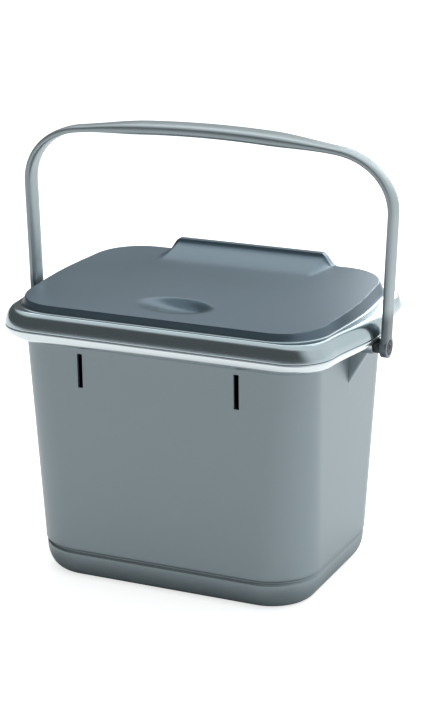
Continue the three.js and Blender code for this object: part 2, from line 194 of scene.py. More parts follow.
def new_object(name: str, data: bpy.types.ID) -> Object:
    """Puts data in the scene as an object at the origin.

    Args:
        name: The object's name.
        data: Its mesh, camera or lamp.

    Returns:
        The new object.
    """
    made = bpy.data.objects.new(name, data)
    bpy.context.scene.collection.objects.link(made)
    return made


def direction(azimuth: float, elevation: float) -> Vector:
    """Returns the direction at an angle round from the front and one above the floor, in degrees."""
    turn, rise = math.radians(azimuth), math.radians(elevation)
    return Vector((math.sin(turn) * math.cos(rise), -math.cos(turn) * math.cos(rise), math.sin(rise)))


def face_outwards(mesh: Mesh) -> None:
    """Welds the seams of a closed mesh and turns all its faces outwards.

    Args:
        mesh: The mesh, which changes.
    """
    shape = bmesh.new()
    shape.from_mesh(mesh)
    bmesh.ops.remove_doubles(shape, verts=shape.verts, dist=MERGE_DISTANCE)
    bmesh.ops.recalc_face_normals(shape, faces=shape.faces)
    shape.to_mesh(mesh)
    shape.free()


def mesh_object(name: str, points: Iterable[Sequence[float]], faces: Iterable[Sequence[int]]) -> Object:
    """Makes a closed, outward facing mesh object from points and faces.

    Args:
        name: The object's name.
        points: The corners, in metres.
        faces: Runs of corner numbers.

    Returns:
        The new object.
    """
    mesh = bpy.data.meshes.new(name)
    mesh.from_pydata(list(points), [], list(faces))
    face_outwards(mesh)
    return new_object(name, mesh)


def ring_faces(first: Sequence[int], second: Sequence[int]) -> list[tuple[int, ...]]:
    """Joins two closed runs of corners of the same length with a band of faces."""
    count = len(first)
    return [(first[i], first[(i + 1) % count], second[(i + 1) % count], second[i]) for i in range(count)]


def bake(piece: Object) -> Object:
    """Applies an object's modifiers, so that it holds one plain mesh.

    Args:
        piece: The object.

    Returns:
        The same object.
    """
    bpy.context.view_layer.update()
    graph = bpy.context.evaluated_depsgraph_get()
    mesh = bpy.data.meshes.new_from_object(piece.evaluated_get(graph), depsgraph=graph)
    mesh.name = piece.name
    piece.modifiers.clear()
    piece.data = mesh
    return piece


def combine(piece: Object, tools: Iterable[Object], way: Joining) -> Object:
    """Joins tool shapes to a piece, or cuts them out of it, and removes the tools.

    Args:
        piece: The piece that changes.
        tools: Closed shapes.
        way: Whether the tools are added or cut.

    Returns:
        The piece, with a plain mesh.
    """
    used = list(tools)
    for tool in used:
        modifier = piece.modifiers.new(tool.name, "BOOLEAN")
        modifier.operation = way.value
        modifier.solver = "MANIFOLD"
        modifier.object = tool
    bake(piece)
    for tool in used:
        bpy.data.objects.remove(tool)
    return piece


def soften(piece: Object, width: float) -> Object:
    """Rounds the sharp edges of a shape.

    Args:
        piece: The shape.
        width: The rounding's width.

    Returns:
        The shape, with a plain mesh.
    """
    modifier = piece.modifiers.new("Rounding", "BEVEL")
    modifier.width = width
    modifier.segments = SOFT_STEPS
    modifier.limit_method = "ANGLE"
    modifier.angle_limit = SOFT_ANGLE
    return bake(piece)


def turned_along_x(name: str, outline: Sequence[tuple[float, float]], centre: Vector) -> Object:
    """Turns an outline about a line along X.

    Args:
        name: The object's name.
        outline: Places as X and radius, from one end on the axis to the other.
        centre: A point of the axis, whose X is left out.

    Returns:
        The turned shape.
    """
    turns = [2 * math.pi * step / ROUND_SIDES for step in range(ROUND_SIDES)]
    points = [(x, centre.y + radius * math.cos(turn), centre.z + radius * math.sin(turn))
              for x, radius in outline for turn in turns]
    rings = [range(row * ROUND_SIDES, (row + 1) * ROUND_SIDES) for row in range(len(outline))]
    faces = [face for first, second in zip(rings, rings[1:]) for face in ring_faces(first, second)]
    return mesh_object(name, points, faces)


def round_bar(name: str, radius: float, start: float, end: float, centre: Vector, rounding: float) -> Object:
    """Makes a round bar along X with softly rounded ends.

    Args:
        name: The object's name.
        radius: The bar's radius.
        start: Where it starts along X.
        end: Where it ends along X.
        centre: A point of its axis, whose X is left out.
        rounding: The radius of the rounding at both ends.

    Returns:
        The bar.
    """
    low, high = sorted((start, end))
    turns = [math.pi / 2 * step / ROUND_STEPS for step in range(ROUND_STEPS, -1, -1)]
    outline = [(low, 0.0)] + [
        (low + rounding * (1 - math.sin(turn)), radius - rounding * (1 - math.cos(turn))) for turn in turns]
    mirrored = [(low + high - x, reach) for x, reach in reversed(outline)]
    return turned_along_x(name, outline + mirrored, centre)


def prism(name: str, corners: Sequence[tuple[float, float]], axis: int, middle: float, length: float) -> Object:
    """Makes a prism whose outline lies across one axis.

    Args:
        name: The object's name.
        corners: The outline, as the two other coordinates in order.
        axis: 0 for a prism along X, 1 for one along Y.
        middle: Its middle along that axis.
        length: Its length along that axis.

    Returns:
        The prism.
    """
    points = []
    for end in (middle - length / 2, middle + length / 2):
        points += [(end, *corner) if axis == 0 else (corner[0], end, corner[1]) for corner in corners]
    count = len(corners)
    near, far = list(range(count)), list(range(count, 2 * count))
    return mesh_object(name, points, [near, far, *ring_faces(near, far)])


class Wiring:
    """Short calls that add linked nodes to a tree of any kind."""

    def __init__(self, tree: bpy.types.NodeTree) -> None:
        """Takes the tree that the calls change."""
        self.nodes, self.links = tree.nodes, tree.links

    def feed(self, node: Node, inputs: dict) -> None:
        """Fills a node's inputs.

        Args:
            node: The node.
            inputs: For each input's name or number, a socket to link or a value to set.
        """
        for key, value in inputs.items():
            if isinstance(value, Socket):
                self.links.new(value, node.inputs[key])
            else:
                node.inputs[key].default_value = value

    def node(self, kind: str, inputs: Optional[dict] = None, **settings: object) -> Node:
        """Adds a node.

        Args:
            kind: The node's type.
            inputs: What its inputs are fed.
            settings: The node's own settings.

        Returns:
            The new node.
        """
        made = self.nodes.new(kind)
        for name, value in settings.items():
            setattr(made, name, value)
        self.feed(made, inputs or {})
        return made

    def math(self, operation: str, *values: SocketOrNumber) -> Socket:
        """Adds a sum and returns its result."""
        return self.node("ShaderNodeMath", dict(enumerate(values)), operation=operation).outputs[0]

    def share(self, operation: str, *values: SocketOrNumber) -> Socket:
        """Adds a sum and returns its result, held from 0 to 1."""
        return self.node("ShaderNodeMath", dict(enumerate(values)), operation=operation, use_clamp=True).outputs[0]

    def product(self, first: SocketOrNumber, *others: SocketOrNumber) -> SocketOrNumber:
        """Multiplies numbers.

        Args:
            first: A socket or a number.
            others: More of them.

        Returns:
            The product.
        """
        for other in others:
            first = self.math("MULTIPLY", first, other)
        return first

    def vector_math(self, operation: str, *values: object) -> Node:
        """Adds a sum of vectors and returns its node."""
        return self.node("ShaderNodeVectorMath", dict(enumerate(values)), operation=operation)

    def split(self, vector: Socket) -> tuple[Socket, ...]:
        """Returns the three parts of a vector."""
        return tuple(self.node("ShaderNodeSeparateXYZ", {0: vector}).outputs)

    def smooth_share(self, value: Socket, start: float, end: float) -> Socket:
        """Returns a share that runs smoothly from 0 at start to 1 at end."""
        inputs = {"Value": value, "From Min": start, "From Max": end}
        return self.node("ShaderNodeMapRange", inputs, interpolation_type="SMOOTHSTEP").outputs["Result"]

    def noise(self, place: Socket, scale: float, detail: float) -> Socket:
        """Returns a noise over places."""
        return self.node("ShaderNodeTexNoise", {"Vector": place, "Scale": scale, "Detail": detail}).outputs["Fac"]

    def mix(self, kind: str, *values: object) -> Socket:
        """Mixes two colours or two numbers.

        Args:
            kind: RGBA or FLOAT.
            values: How much of the second is taken, the first and the second.

        Returns:
            The mixed socket.
        """
        made = self.node("ShaderNodeMix", data_type=kind)
        used = [number for number, socket in enumerate(made.inputs) if socket.enabled]
        self.feed(made, dict(zip(used, values)))
        return next(socket for socket in made.outputs if socket.enabled)


class ShapeTree(Wiring):
    """Builds one geometry node tree with named inputs."""

    def __init__(self, name: str) -> None:
        """Starts an empty tree.

        Args:
            name: The tree's name.
        """
        self.group = bpy.data.node_groups.new(name, "GeometryNodeTree")
        super().__init__(self.group)
        self.group.interface.new_socket("Geometry", in_out="OUTPUT", socket_type="NodeSocketGeometry")
        self.entry, self.exit = self.node("NodeGroupInput"), self.node("NodeGroupOutput")
        self.sockets: dict[str, bpy.types.NodeTreeInterfaceSocket] = {}

    def named_input(self, name: str, kind: str = "NodeSocketFloat") -> Socket:
        """Adds an input to the tree.

        Args:
            name: The input's name.
            kind: The socket's type.

        Returns:
            The socket that carries the input inside the tree.
        """
        self.sockets[name] = self.group.interface.new_socket(name, in_out="INPUT", socket_type=kind)
        return self.entry.outputs[name]

    def named_numbers(self, *names: str) -> list[Socket]:
        """Adds an input for each name, all of them numbers."""
        return [self.named_input(name) for name in names]

    def vector(self, x: SocketOrNumber, y: SocketOrNumber, z: SocketOrNumber) -> Socket:
        """Returns a vector made of three parts."""
        return self.node("ShaderNodeCombineXYZ", {0: x, 1: y, 2: z}).outputs[0]

    def guide(self, name: str) -> tuple[Socket, Socket]:
        """Adds an input for a guide object.

        Args:
            name: The input's name.

        Returns:
            The guide's geometry and how many points it has.
        """
        source = self.named_input(name, "NodeSocketObject")
        geometry = self.node("GeometryNodeObjectInfo", {"Object": source}).outputs["Geometry"]
        count = self.node("GeometryNodeAttributeDomainSize", {"Geometry": geometry}).outputs["Point Count"]
        return geometry, count

    def sample(self, geometry: Socket, name: str, kind: str, index: Socket) -> Socket:
        """Reads a named value of one point of a guide.

        Args:
            geometry: The guide's geometry.
            name: The value's name.
            kind: FLOAT or FLOAT_VECTOR.
            index: The point's number.

        Returns:
            The value.
        """
        field_node = self.node("GeometryNodeInputNamedAttribute", {"Name": name}, data_type=kind)
        inputs = {"Geometry": geometry, "Value": field_node.outputs[0], "Index": index}
        return self.node("GeometryNodeSampleIndex", inputs, data_type=kind, domain="POINT").outputs[0]

    def woven_grid(self, columns: Socket, rows: Socket) -> tuple[Socket, Socket, Socket]:
        """Adds a grid of points that a rule then bends into shape.

        Args:
            columns: How many points it has one way.
            rows: How many points it has the other way.

        Returns:
            The grid, and each point's column and row.
        """
        size = {"Size X": 1.0, "Size Y": 1.0, "Vertices X": columns, "Vertices Y": rows}
        grid = self.node("GeometryNodeMeshGrid", size).outputs["Mesh"]
        index = self.node("GeometryNodeInputIndex").outputs[0]
        column = self.math("FLOOR", self.math("DIVIDE", index, rows))
        return grid, column, self.math("SUBTRACT", index, self.product(column, rows))

    def close(self, grid: Socket, position: Socket) -> None:
        """Bends a grid, welds its seams and ends the tree with its finish.

        Args:
            grid: The grid.
            position: Each point's place.
        """
        bent = self.node("GeometryNodeSetPosition", {"Geometry": grid, "Position": position}).outputs[0]
        welded = self.node("GeometryNodeMergeByDistance", {"Geometry": bent, "Distance": MERGE_DISTANCE}).outputs[0]
        smooth = self.node("GeometryNodeSetShadeSmooth", {"Geometry": welded}).outputs[0]
        plain = self.node("GeometryNodeRealizeInstances", {"Geometry": smooth}).outputs[0]
        finish = self.named_input("Finish", "NodeSocketMaterial")
        dressed = self.node("GeometryNodeSetMaterial", {"Geometry": plain, "Material": finish}).outputs[0]
        self.links.new(dressed, self.exit.inputs[0])

    def build(self, name: str, values: dict[str, object]) -> Object:
        """Runs the tree once and keeps the result as a plain mesh that faces outwards.

        Args:
            name: The new object's name.
            values: A value for each named input.

        Returns:
            The new object.
        """
        piece = new_object(name, bpy.data.meshes.new(name))
        modifier = piece.modifiers.new("Shape", "NODES")
        modifier.node_group = self.group
        for key, value in values.items():
            modifier[self.sockets[key].identifier] = value
        face_outwards(bake(piece).data)
        return piece


def guide_object(name: str, values: dict[str, Sequence]) -> Object:
    """Makes a hidden object whose points carry named values for a tree.

    Args:
        name: The object's name.
        values: For each name, one number or one vector for each point.

    Returns:
        The guide.
    """
    count = len(next(iter(values.values())))
    mesh = bpy.data.meshes.new(name)
    mesh.vertices.add(count)
    for key, column in values.items():
        data = np.array(column, np.float32)
        if data.ndim == 1:
            mesh.attributes.new(key, "FLOAT", "POINT").data.foreach_set("value", data)
        else:
            mesh.attributes.new(key, "FLOAT_VECTOR", "POINT").data.foreach_set("vector", data.ravel())
    guide = new_object(name, mesh)
    guide.hide_render = True
    return guide


@dataclass(frozen=True)
class RimPlan:
    """The outline that the bucket's rim and the lid's skirt share, seen from above."""

    half_x: float
    half_y: float
    corner: float = 0.032
    ear_reach: float = 0.010
    ear_half_length: float = 0.078

    def steps(self, side_steps: int, front_steps: int, corner_steps: int) -> list[PlanStep]:
        """Lays out the steps once round the outline.

        Args:
            side_steps: Steps along each straight side.
            front_steps: Steps along the front and along the back.
            corner_steps: Steps round each corner.

        Returns:
            The steps, without a repeat of the first.
        """
        corners = ((1, -1, -90, side_steps), (1, 1, 0, front_steps),
                   (-1, 1, 90, side_steps), (-1, -1, 180, front_steps))
        found = []
        for index, (x, y, start, straight) in enumerate(corners):
            for step in range(corner_steps + 1):
                angle = math.radians(start + 90 * step / corner_steps)
                found.append(PlanStep(x, y, math.cos(angle), math.sin(angle)))
            following = corners[(index + 1) % len(corners)]
            for step in range(1, straight):
                share = step / straight
                last = found[-step]
                found.append(PlanStep(lerp(x, following[0], share), lerp(y, following[1], share),
                                      last.turn_x, last.turn_y))
        return found

    def ear_swell(self, x: np.ndarray, y: np.ndarray, share: float) -> np.ndarray:
        """Swells the sides out to the ears.

        Args:
            x: Places across.
            y: Places along.
            share: How much of the swelling is taken.

        Returns:
            The swelled places across.
        """
        wave = np.cos(np.pi / 2 * np.minimum(np.abs(y) / self.ear_half_length, 1.0))
        return x + np.sign(x) * self.ear_reach * share * wave * wave

    @staticmethod
    def shell_tree() -> ShapeTree:
        """Makes the tree that wraps rows of a shell round the rim's plan.

        Returns:
            The tree.
        """
        tree = ShapeTree("Rounded shell")
        plan, plan_count = tree.guide("Plan")
        rows, row_count = tree.guide("Rows")
        half_x, half_y, ear_reach, ear_length = tree.named_numbers(
            "Half width", "Half depth", "Ear reach", "Ear half length")
        grid, column, row = tree.woven_grid(tree.math("ADD", plan_count, 1), row_count)
        step = tree.math("MODULO", column, plan_count)
        along_x, along_y, _ = tree.split(tree.sample(plan, "along", "FLOAT_VECTOR", step))
        turn_x, turn_y, _ = tree.split(tree.sample(plan, "turn", "FLOAT_VECTOR", step))
        inset, corner, swell, height, spread = (tree.sample(rows, name, "FLOAT", row) for name in Row._fields)
        drawn_in = tree.math("ADD", inset, corner)
        x, y = (tree.math("MULTIPLY_ADD", along, tree.math("SUBTRACT", half, drawn_in), tree.product(corner, turn))
                for along, half, turn in ((along_x, half_x, turn_x), (along_y, half_y, turn_y)))
        reach = tree.math("MINIMUM", tree.math("DIVIDE", tree.math("ABSOLUTE", y), ear_length), 1.0)
        wave = tree.math("COSINE", tree.product(reach, math.pi / 2))
        ear = tree.product(ear_reach, swell, wave, wave)
        swelled = tree.math("MULTIPLY_ADD", tree.math("SIGN", x), ear, x)
        tree.close(grid, tree.vector(tree.product(swelled, spread), tree.product(y, spread), height))
        return tree


@dataclass(frozen=True)
class PaintedLightBand:
    """A stretch of a moulding, between two heights, given its own tint, roughness and metallic share as painted light
    and shade: a lighter, glossier band paints a highlight over the rendered reflections, and a darker band paints
    shade.
    """

    low: float
    high: float
    tint: Triple = (0.70, 0.76, 0.78)
    roughness: float = 0.17
    metallic: float = 0.95
    fade: float = 0.0012


@dataclass(frozen=True)
class MouldedFinish:
    """Satin moulded plastic with a metallic pigment, as a procedural material."""

    name: str
    slot: Slot
    roughness: float
    metallic: float
    tint: Triple
    tint_spread: float = 0.035
    roughness_spread: float = 0.08
    flow_scale: float = 22.0
    flow_detail: float = 3.0
    grain: float = 0.05
    grain_size: float = 0.0009
    grain_detail: float = 2.0
    grain_depth: float = 0.0002
    polish: Optional[PaintedLightBand] = None

    def make(self) -> Material:
        """Builds the material.

        Returns:
            The material, which reads Object coordinates.
        """
        material = bpy.data.materials.new(self.name)
        material.use_nodes = True
        tree = Wiring(material.node_tree)
        place = tree.node("ShaderNodeTexCoord").outputs["Object"]
        flow = tree.noise(place, self.flow_scale, self.flow_detail)
        ramp = tree.node("ShaderNodeValToRGB", {"Fac": flow})
        for stop, sign in zip(ramp.color_ramp.elements, (-1, 1)):
            stop.color = (*[part * (1 + sign * self.tint_spread) for part in self.tint], 1.0)
        least, most = (self.roughness * (1 + sign * self.roughness_spread) for sign in (-1, 1))
        rough = tree.node("ShaderNodeMapRange", {"Value": flow, "To Min": least, "To Max": most}).outputs["Result"]
        colour, shine = ramp.outputs["Color"], self.metallic
        # A painted light band swaps in its own tint, roughness and metallic share between two heights: painted
        # highlight where it is lighter, painted shade where it is darker.
        if self.polish:
            share = self._polish_share(tree, place)
            colour = tree.mix("RGBA", share, colour, (*self.polish.tint, 1.0))
            rough = tree.mix("FLOAT", share, rough, self.polish.roughness)
            shine = tree.mix("FLOAT", share, shine, self.polish.metallic)
        grain = tree.noise(place, 1 / self.grain_size, self.grain_detail)
        bump = tree.node("ShaderNodeBump", {"Height": grain, "Strength": self.grain, "Distance": self.grain_depth})
        tree.feed(tree.nodes["Principled BSDF"], {
            "Base Color": colour, "Roughness": rough, "Metallic": shine, "Normal": bump.outputs["Normal"]})
        return material

    def _polish_share(self, tree: Wiring, place: Socket) -> Socket:
        """Finds how far a point lies inside the painted light band, from its height.

        Args:
            tree: The material's tree.
            place: Object coordinates.

        Returns:
            1 inside the painted light band and 0 outside it, with a soft edge.
        """
        polish, height = self.polish, tree.split(place)[2]
        return tree.math("MULTIPLY", tree.smooth_share(height, polish.low - polish.fade, polish.low),
                         tree.smooth_share(height, polish.high + polish.fade, polish.high))


@dataclass(frozen=True)
class Hinge:
    """The lid's hinge: where its axis lies, and the sizes of its knuckles, lugs and pins."""

    centre: Vector
    spacing: float = 0.110
    pin_radius: float = 0.0019
    knuckle_radius: float = 0.005
    knuckle_length: float = 0.016
    lug_length: float = 0.007
    lug_gap: float = 0.0005
    lug_depth: float = 0.009
    running_gap: float = 0.0003
    edge: float = 0.0006

    def barrel(self, name: str, middle: float, length: float) -> Object:
        """Makes one barrel of the hinge about a place along X."""
        return round_bar(name, self.knuckle_radius, middle - length / 2, middle + length / 2, self.centre, self.edge)

    def bore(self, side: int) -> Object:
        """Makes the tool that bores one side's barrels.

        Args:
            side: -1 or 1.

        Returns:
            The tool.
        """
        middle = side * self.spacing / 2
        reach = self.knuckle_length / 2 + 2 * self.lug_length
        radius = self.pin_radius + self.running_gap
        return round_bar("bore", radius, middle - reach, middle + reach, self.centre, self.running_gap)

    def pin(self, word: str, side: int) -> Object:
        """Makes one hinge pin.

        Args:
            word: left or right.
            side: -1 or 1.

        Returns:
            The pin.
        """
        middle = side * self.spacing / 2
        half = self.knuckle_length / 2 + self.lug_gap + self.lug_length
        return round_bar(f"pin_{word}", self.pin_radius, middle - half, middle + half, self.centre, self.edge)


@dataclass
class Bucket:
    """The bucket: a tapered shell with a collar, an upstand, handle seats, hinge lugs and two slots."""

    plan: RimPlan
    hinge: Hinge
    pivot: Vector
    finish: MouldedFinish
    wall: float = 0.0024
    floor: float = 0.0028
    body_top: float = 0.1925
    body_corner: float = 0.029
    foot_corner: float = 0.040
    body_taper: float = 0.005
    crease_height: float = 0.023
    crease_step: float = 0.0007
    crease_groove: float = 0.0015
    crease_half_width: float = 0.0024
    foot_tuck: float = 0.0124
    collar_reach: float = 0.0132
    collar_rise: float = 0.0105
    collar_fillet: float = 0.0026
    edge: float = 0.0006
    upstand_inset: float = 0.0034
    upstand_height: float = 0.006
    slot_spacing: float = 0.129
    slot_width: float = 0.0042
    slot_bottom: float = 0.160
    slot_top: float = 0.187
    boss_radius: float = 0.0065
    boss_end: float = 0.1395
    scallop_radius: float = 0.0059
    bore_radius: float = 0.0035
    bore_depth: float = 0.0068
    gusset_width: float = 0.006
    gusset_drop: float = 0.0274
    gusset_reach: float = 0.0135
    gusset_bite_share: float = 0.8
    gusset_rounding: float = 0.0009
    web_drop_share: float = 0.97
    quarter_steps: int = 14
    coarse: int = 3
    fillet_first: int = 2
    groove_steps: int = 12
    wall_steps: int = 8
    plan_steps: tuple[int, int, int] = (44, 6, 18)
    base_spreads: tuple[float, ...] = (0.0, 0.35, 0.7, 0.94)

    @property
    def ledge(self) -> float:
        """The height of the collar's ledge."""
        return self.body_top + self.collar_rise

    def _quarter(self) -> list[tuple[float, float]]:
        """Returns the sine and cosine of each step of a quarter turn."""
        angles = np.linspace(0, math.pi / 2, self.quarter_steps + 1)
        return [(math.sin(angle), math.cos(angle)) for angle in angles]

    def _outside(self) -> list[Row]:
        """Lays out the outer skin, from the middle of the base to the top of the upstand.

        Returns:
            The rows.
        """
        crease_inset = self.collar_reach + self.body_taper
        rows = []
        for sine, cosine in self._quarter():
            tuck = self.foot_tuck * (1 - sine)
            height = (self.crease_height - self.crease_half_width) * (1 - cosine)
            rows.append(Row(crease_inset + self.crease_step + tuck, self.foot_corner - tuck, 0.0, height))
        base = rows[0]
        rows[:0] = [base._replace(spread=share) for share in self.base_spreads]
        for share in np.linspace(-1, 1, self.groove_steps + 1)[1:]:
            groove = self.crease_groove * (1 + math.cos(math.pi * share)) / 2
            step = self.crease_step * (1 - float(smooth_step(np.float64(share), -1.0, 1.0)))
            rows.append(Row(crease_inset + step + groove, self.foot_corner, 0.0,
                            self.crease_height + share * self.crease_half_width))
        wall_start = self.crease_height + 2 * self.crease_half_width
        wall_end = self.body_top - self.collar_fillet
        for share in np.linspace(0, 1, self.wall_steps + 1):
            rows.append(Row(lerp(crease_inset, self.collar_reach, share),
                            lerp(self.foot_corner, self.body_corner, share), 0.0, lerp(wall_start, wall_end, share)))
        for sine, cosine in self._quarter()[self.fillet_first::self.coarse]:
            inset = self.collar_reach - self.collar_fillet * (1 - cosine)
            height = wall_end + self.collar_fillet * sine
            rows.append(Row(inset, self.body_corner, 0.0, height))
        start = self.collar_fillet / self.collar_reach
        for sine, cosine in self._quarter():
            if sine > start:
                corner = lerp(self.body_corner, self.plan.corner, sine)
                height = self.body_top + self.collar_rise * (1 - cosine) - self.edge * sine
                rows.append(Row(self.collar_reach * (1 - sine), corner, sine, height))
        corner = self.plan.corner
        rows.append(Row(self.edge * CORNER_SHARE, corner, 1.0, self.ledge - self.edge * CORNER_SHARE))
        rows.append(Row(self.edge, corner - self.edge, 1.0, self.ledge))
        inset = self.upstand_inset
        top = self.ledge + self.upstand_height
        rows.append(Row(inset, corner - inset, 1.0, self.ledge))
        rows.append(Row(inset, corner - inset, 1.0, self.ledge + self.edge))
        for sine, cosine in self._quarter()[::self.coarse]:
            drawn_in = inset + self.edge * (1 - cosine)
            rows.append(Row(drawn_in, corner - drawn_in, 1.0, top - self.edge * (1 - sine)))
        return rows

    def _inside(self) -> list[Row]:
        """Lays out the inner skin, from the top of the upstand to the middle of the floor.

        Returns:
            The rows.
        """
        top = self.ledge + self.upstand_height
        top_inset = self.upstand_inset + self.wall
        corner = self.plan.corner
        rows = []
        for sine, cosine in self._quarter()[::self.coarse]:
            drawn_in = top_inset - self.edge * (1 - sine)
            rows.append(Row(drawn_in, corner - drawn_in, 1.0, top - self.edge * (1 - cosine)))
        low = self.body_top + self.wall
        for sine, cosine in reversed(self._quarter()):
            inset = lerp(self.collar_reach + self.wall, top_inset, sine)
            inner = lerp(self.body_corner - self.wall, corner - top_inset, sine)
            rows.append(Row(inset, inner, sine, low + (self.ledge - low) * (1 - cosine)))
        foot = self.collar_reach + self.body_taper + self.wall + self.crease_step
        for sine, cosine in reversed(self._quarter()):
            tuck = self.foot_tuck * (1 - sine)
            height = self.floor + (self.crease_height - self.floor) * (1 - cosine)
            rows.append(Row(foot + tuck, self.foot_corner - self.wall - tuck, 0.0, height))
        rows.extend(rows[-1]._replace(spread=share) for share in reversed(self.base_spreads))
        return rows

    def _shell(self, material: Material) -> Object:
        """Wraps the rows round the plan.

        Args:
            material: The finish.

        Returns:
            The closed shell.
        """
        steps = self.plan.steps(*self.plan_steps)
        rows = self._outside() + self._inside()
        plan_guide = guide_object("plan_guide", {
            "along": [(step.along_x, step.along_y, 0.0) for step in steps],
            "turn": [(step.turn_x, step.turn_y, 0.0) for step in steps],
        })
        row_guide = guide_object("row_guide", {name: [getattr(row, name) for row in rows] for name in Row._fields})
        shell = RimPlan.shell_tree().build("bucket_shell", {
            "Plan": plan_guide,
            "Rows": row_guide,
            "Half width": self.plan.half_x,
            "Half depth": self.plan.half_y,
            "Ear reach": self.plan.ear_reach,
            "Ear half length": self.plan.ear_half_length,
            "Finish": material,
        })
        for guide in (plan_guide, row_guide):
            bpy.data.objects.remove(guide)
        return shell

    def _seat(self, side: int) -> list[Object]:
        """Makes the boss and the gusset that carry one end of the handle.

        Args:
            side: -1 or 1.

        Returns:
            Both shapes.
        """
        wall_x = self.plan.half_x - self.collar_reach
        boss = round_bar("boss", self.boss_radius, side * (wall_x - self.wall / 2), side * self.boss_end,
                         self.pivot, self.edge)
        knee = self.pivot.z - self.boss_radius
        foot = wall_x - self.wall * self.gusset_bite_share
        tip = wall_x + self.gusset_reach
        high = self.pivot.z - self.boss_radius / 2
        corners = [(foot, knee - self.gusset_drop), (tip, knee), (tip, high), (foot, high)]
        gusset = prism("gusset", [(side * x, z) for x, z in corners], 1, 0.0, self.gusset_width)
        return [boss, soften(gusset, self.gusset_rounding)]

    def _lugs(self, side: int) -> list[Object]:
        """Makes the two lugs that hold one hinge pin.

        Args:
            side: -1 or 1.

        Returns:
            The lugs and their webs.
        """
        hinge = self.hinge
        inner = self.plan.half_y - self.upstand_inset
        web = [
            (inner, self.ledge - self.edge),
            (inner, self.ledge - hinge.lug_depth),
            (hinge.centre.y, hinge.centre.z - hinge.knuckle_radius * self.web_drop_share),
            (hinge.centre.y + hinge.knuckle_radius / 2, hinge.centre.z - hinge.knuckle_radius / 2),
            (hinge.centre.y, self.ledge - self.edge),
        ]
        offset = (hinge.knuckle_length + hinge.lug_length) / 2 + hinge.lug_gap
        made = []
        for shift in (-offset, offset):
            middle = side * hinge.spacing / 2 + shift
            made.append(hinge.barrel("lug", middle, hinge.lug_length))
            made.append(prism("web", web, 0, middle, hinge.lug_length - hinge.edge))
        return made

    def _slot(self, side: int) -> Object:
        """Makes the tool that cuts one of the front slots.

        Args:
            side: -1 or 1.

        Returns:
            The tool.
        """
        middle = side * self.slot_spacing / 2
        half = self.slot_width / 2
        corners = [(middle - half, self.slot_bottom), (middle + half, self.slot_bottom),
                   (middle + half, self.slot_top), (middle - half, self.slot_top)]
        depth = 4 * self.wall
        wall_y = -(self.plan.half_y - self.collar_reach - self.wall / 2)
        return prism("slot", corners, 1, wall_y, depth)

    def build(self) -> Object:
        """Builds the bucket and dresses it.

        Returns:
            The finished piece.
        """
        material = self.finish.make()
        piece = self._shell(material)
        added, cut = [], []
        for _, side in SIDES:
            added += self._seat(side) + self._lugs(side)
            start = side * (self.boss_end - self.bore_depth)
            past = side * (self.plan.half_x + 2 * self.plan.ear_reach)
            bore = round_bar("pivot_bore", self.bore_radius, start, past, self.pivot, self.edge / 2)
            scallop = round_bar("scallop", self.scallop_radius, side * self.boss_end, past, self.pivot, self.edge / 2)
            cut += [bore, scallop, self.hinge.bore(side), self._slot(side)]
        combine(piece, added, Joining.ADD)
        combine(piece, cut, Joining.CUT)
        return dress(piece, "caddy_bucket", material, Body.BUCKET, ["bucket"])


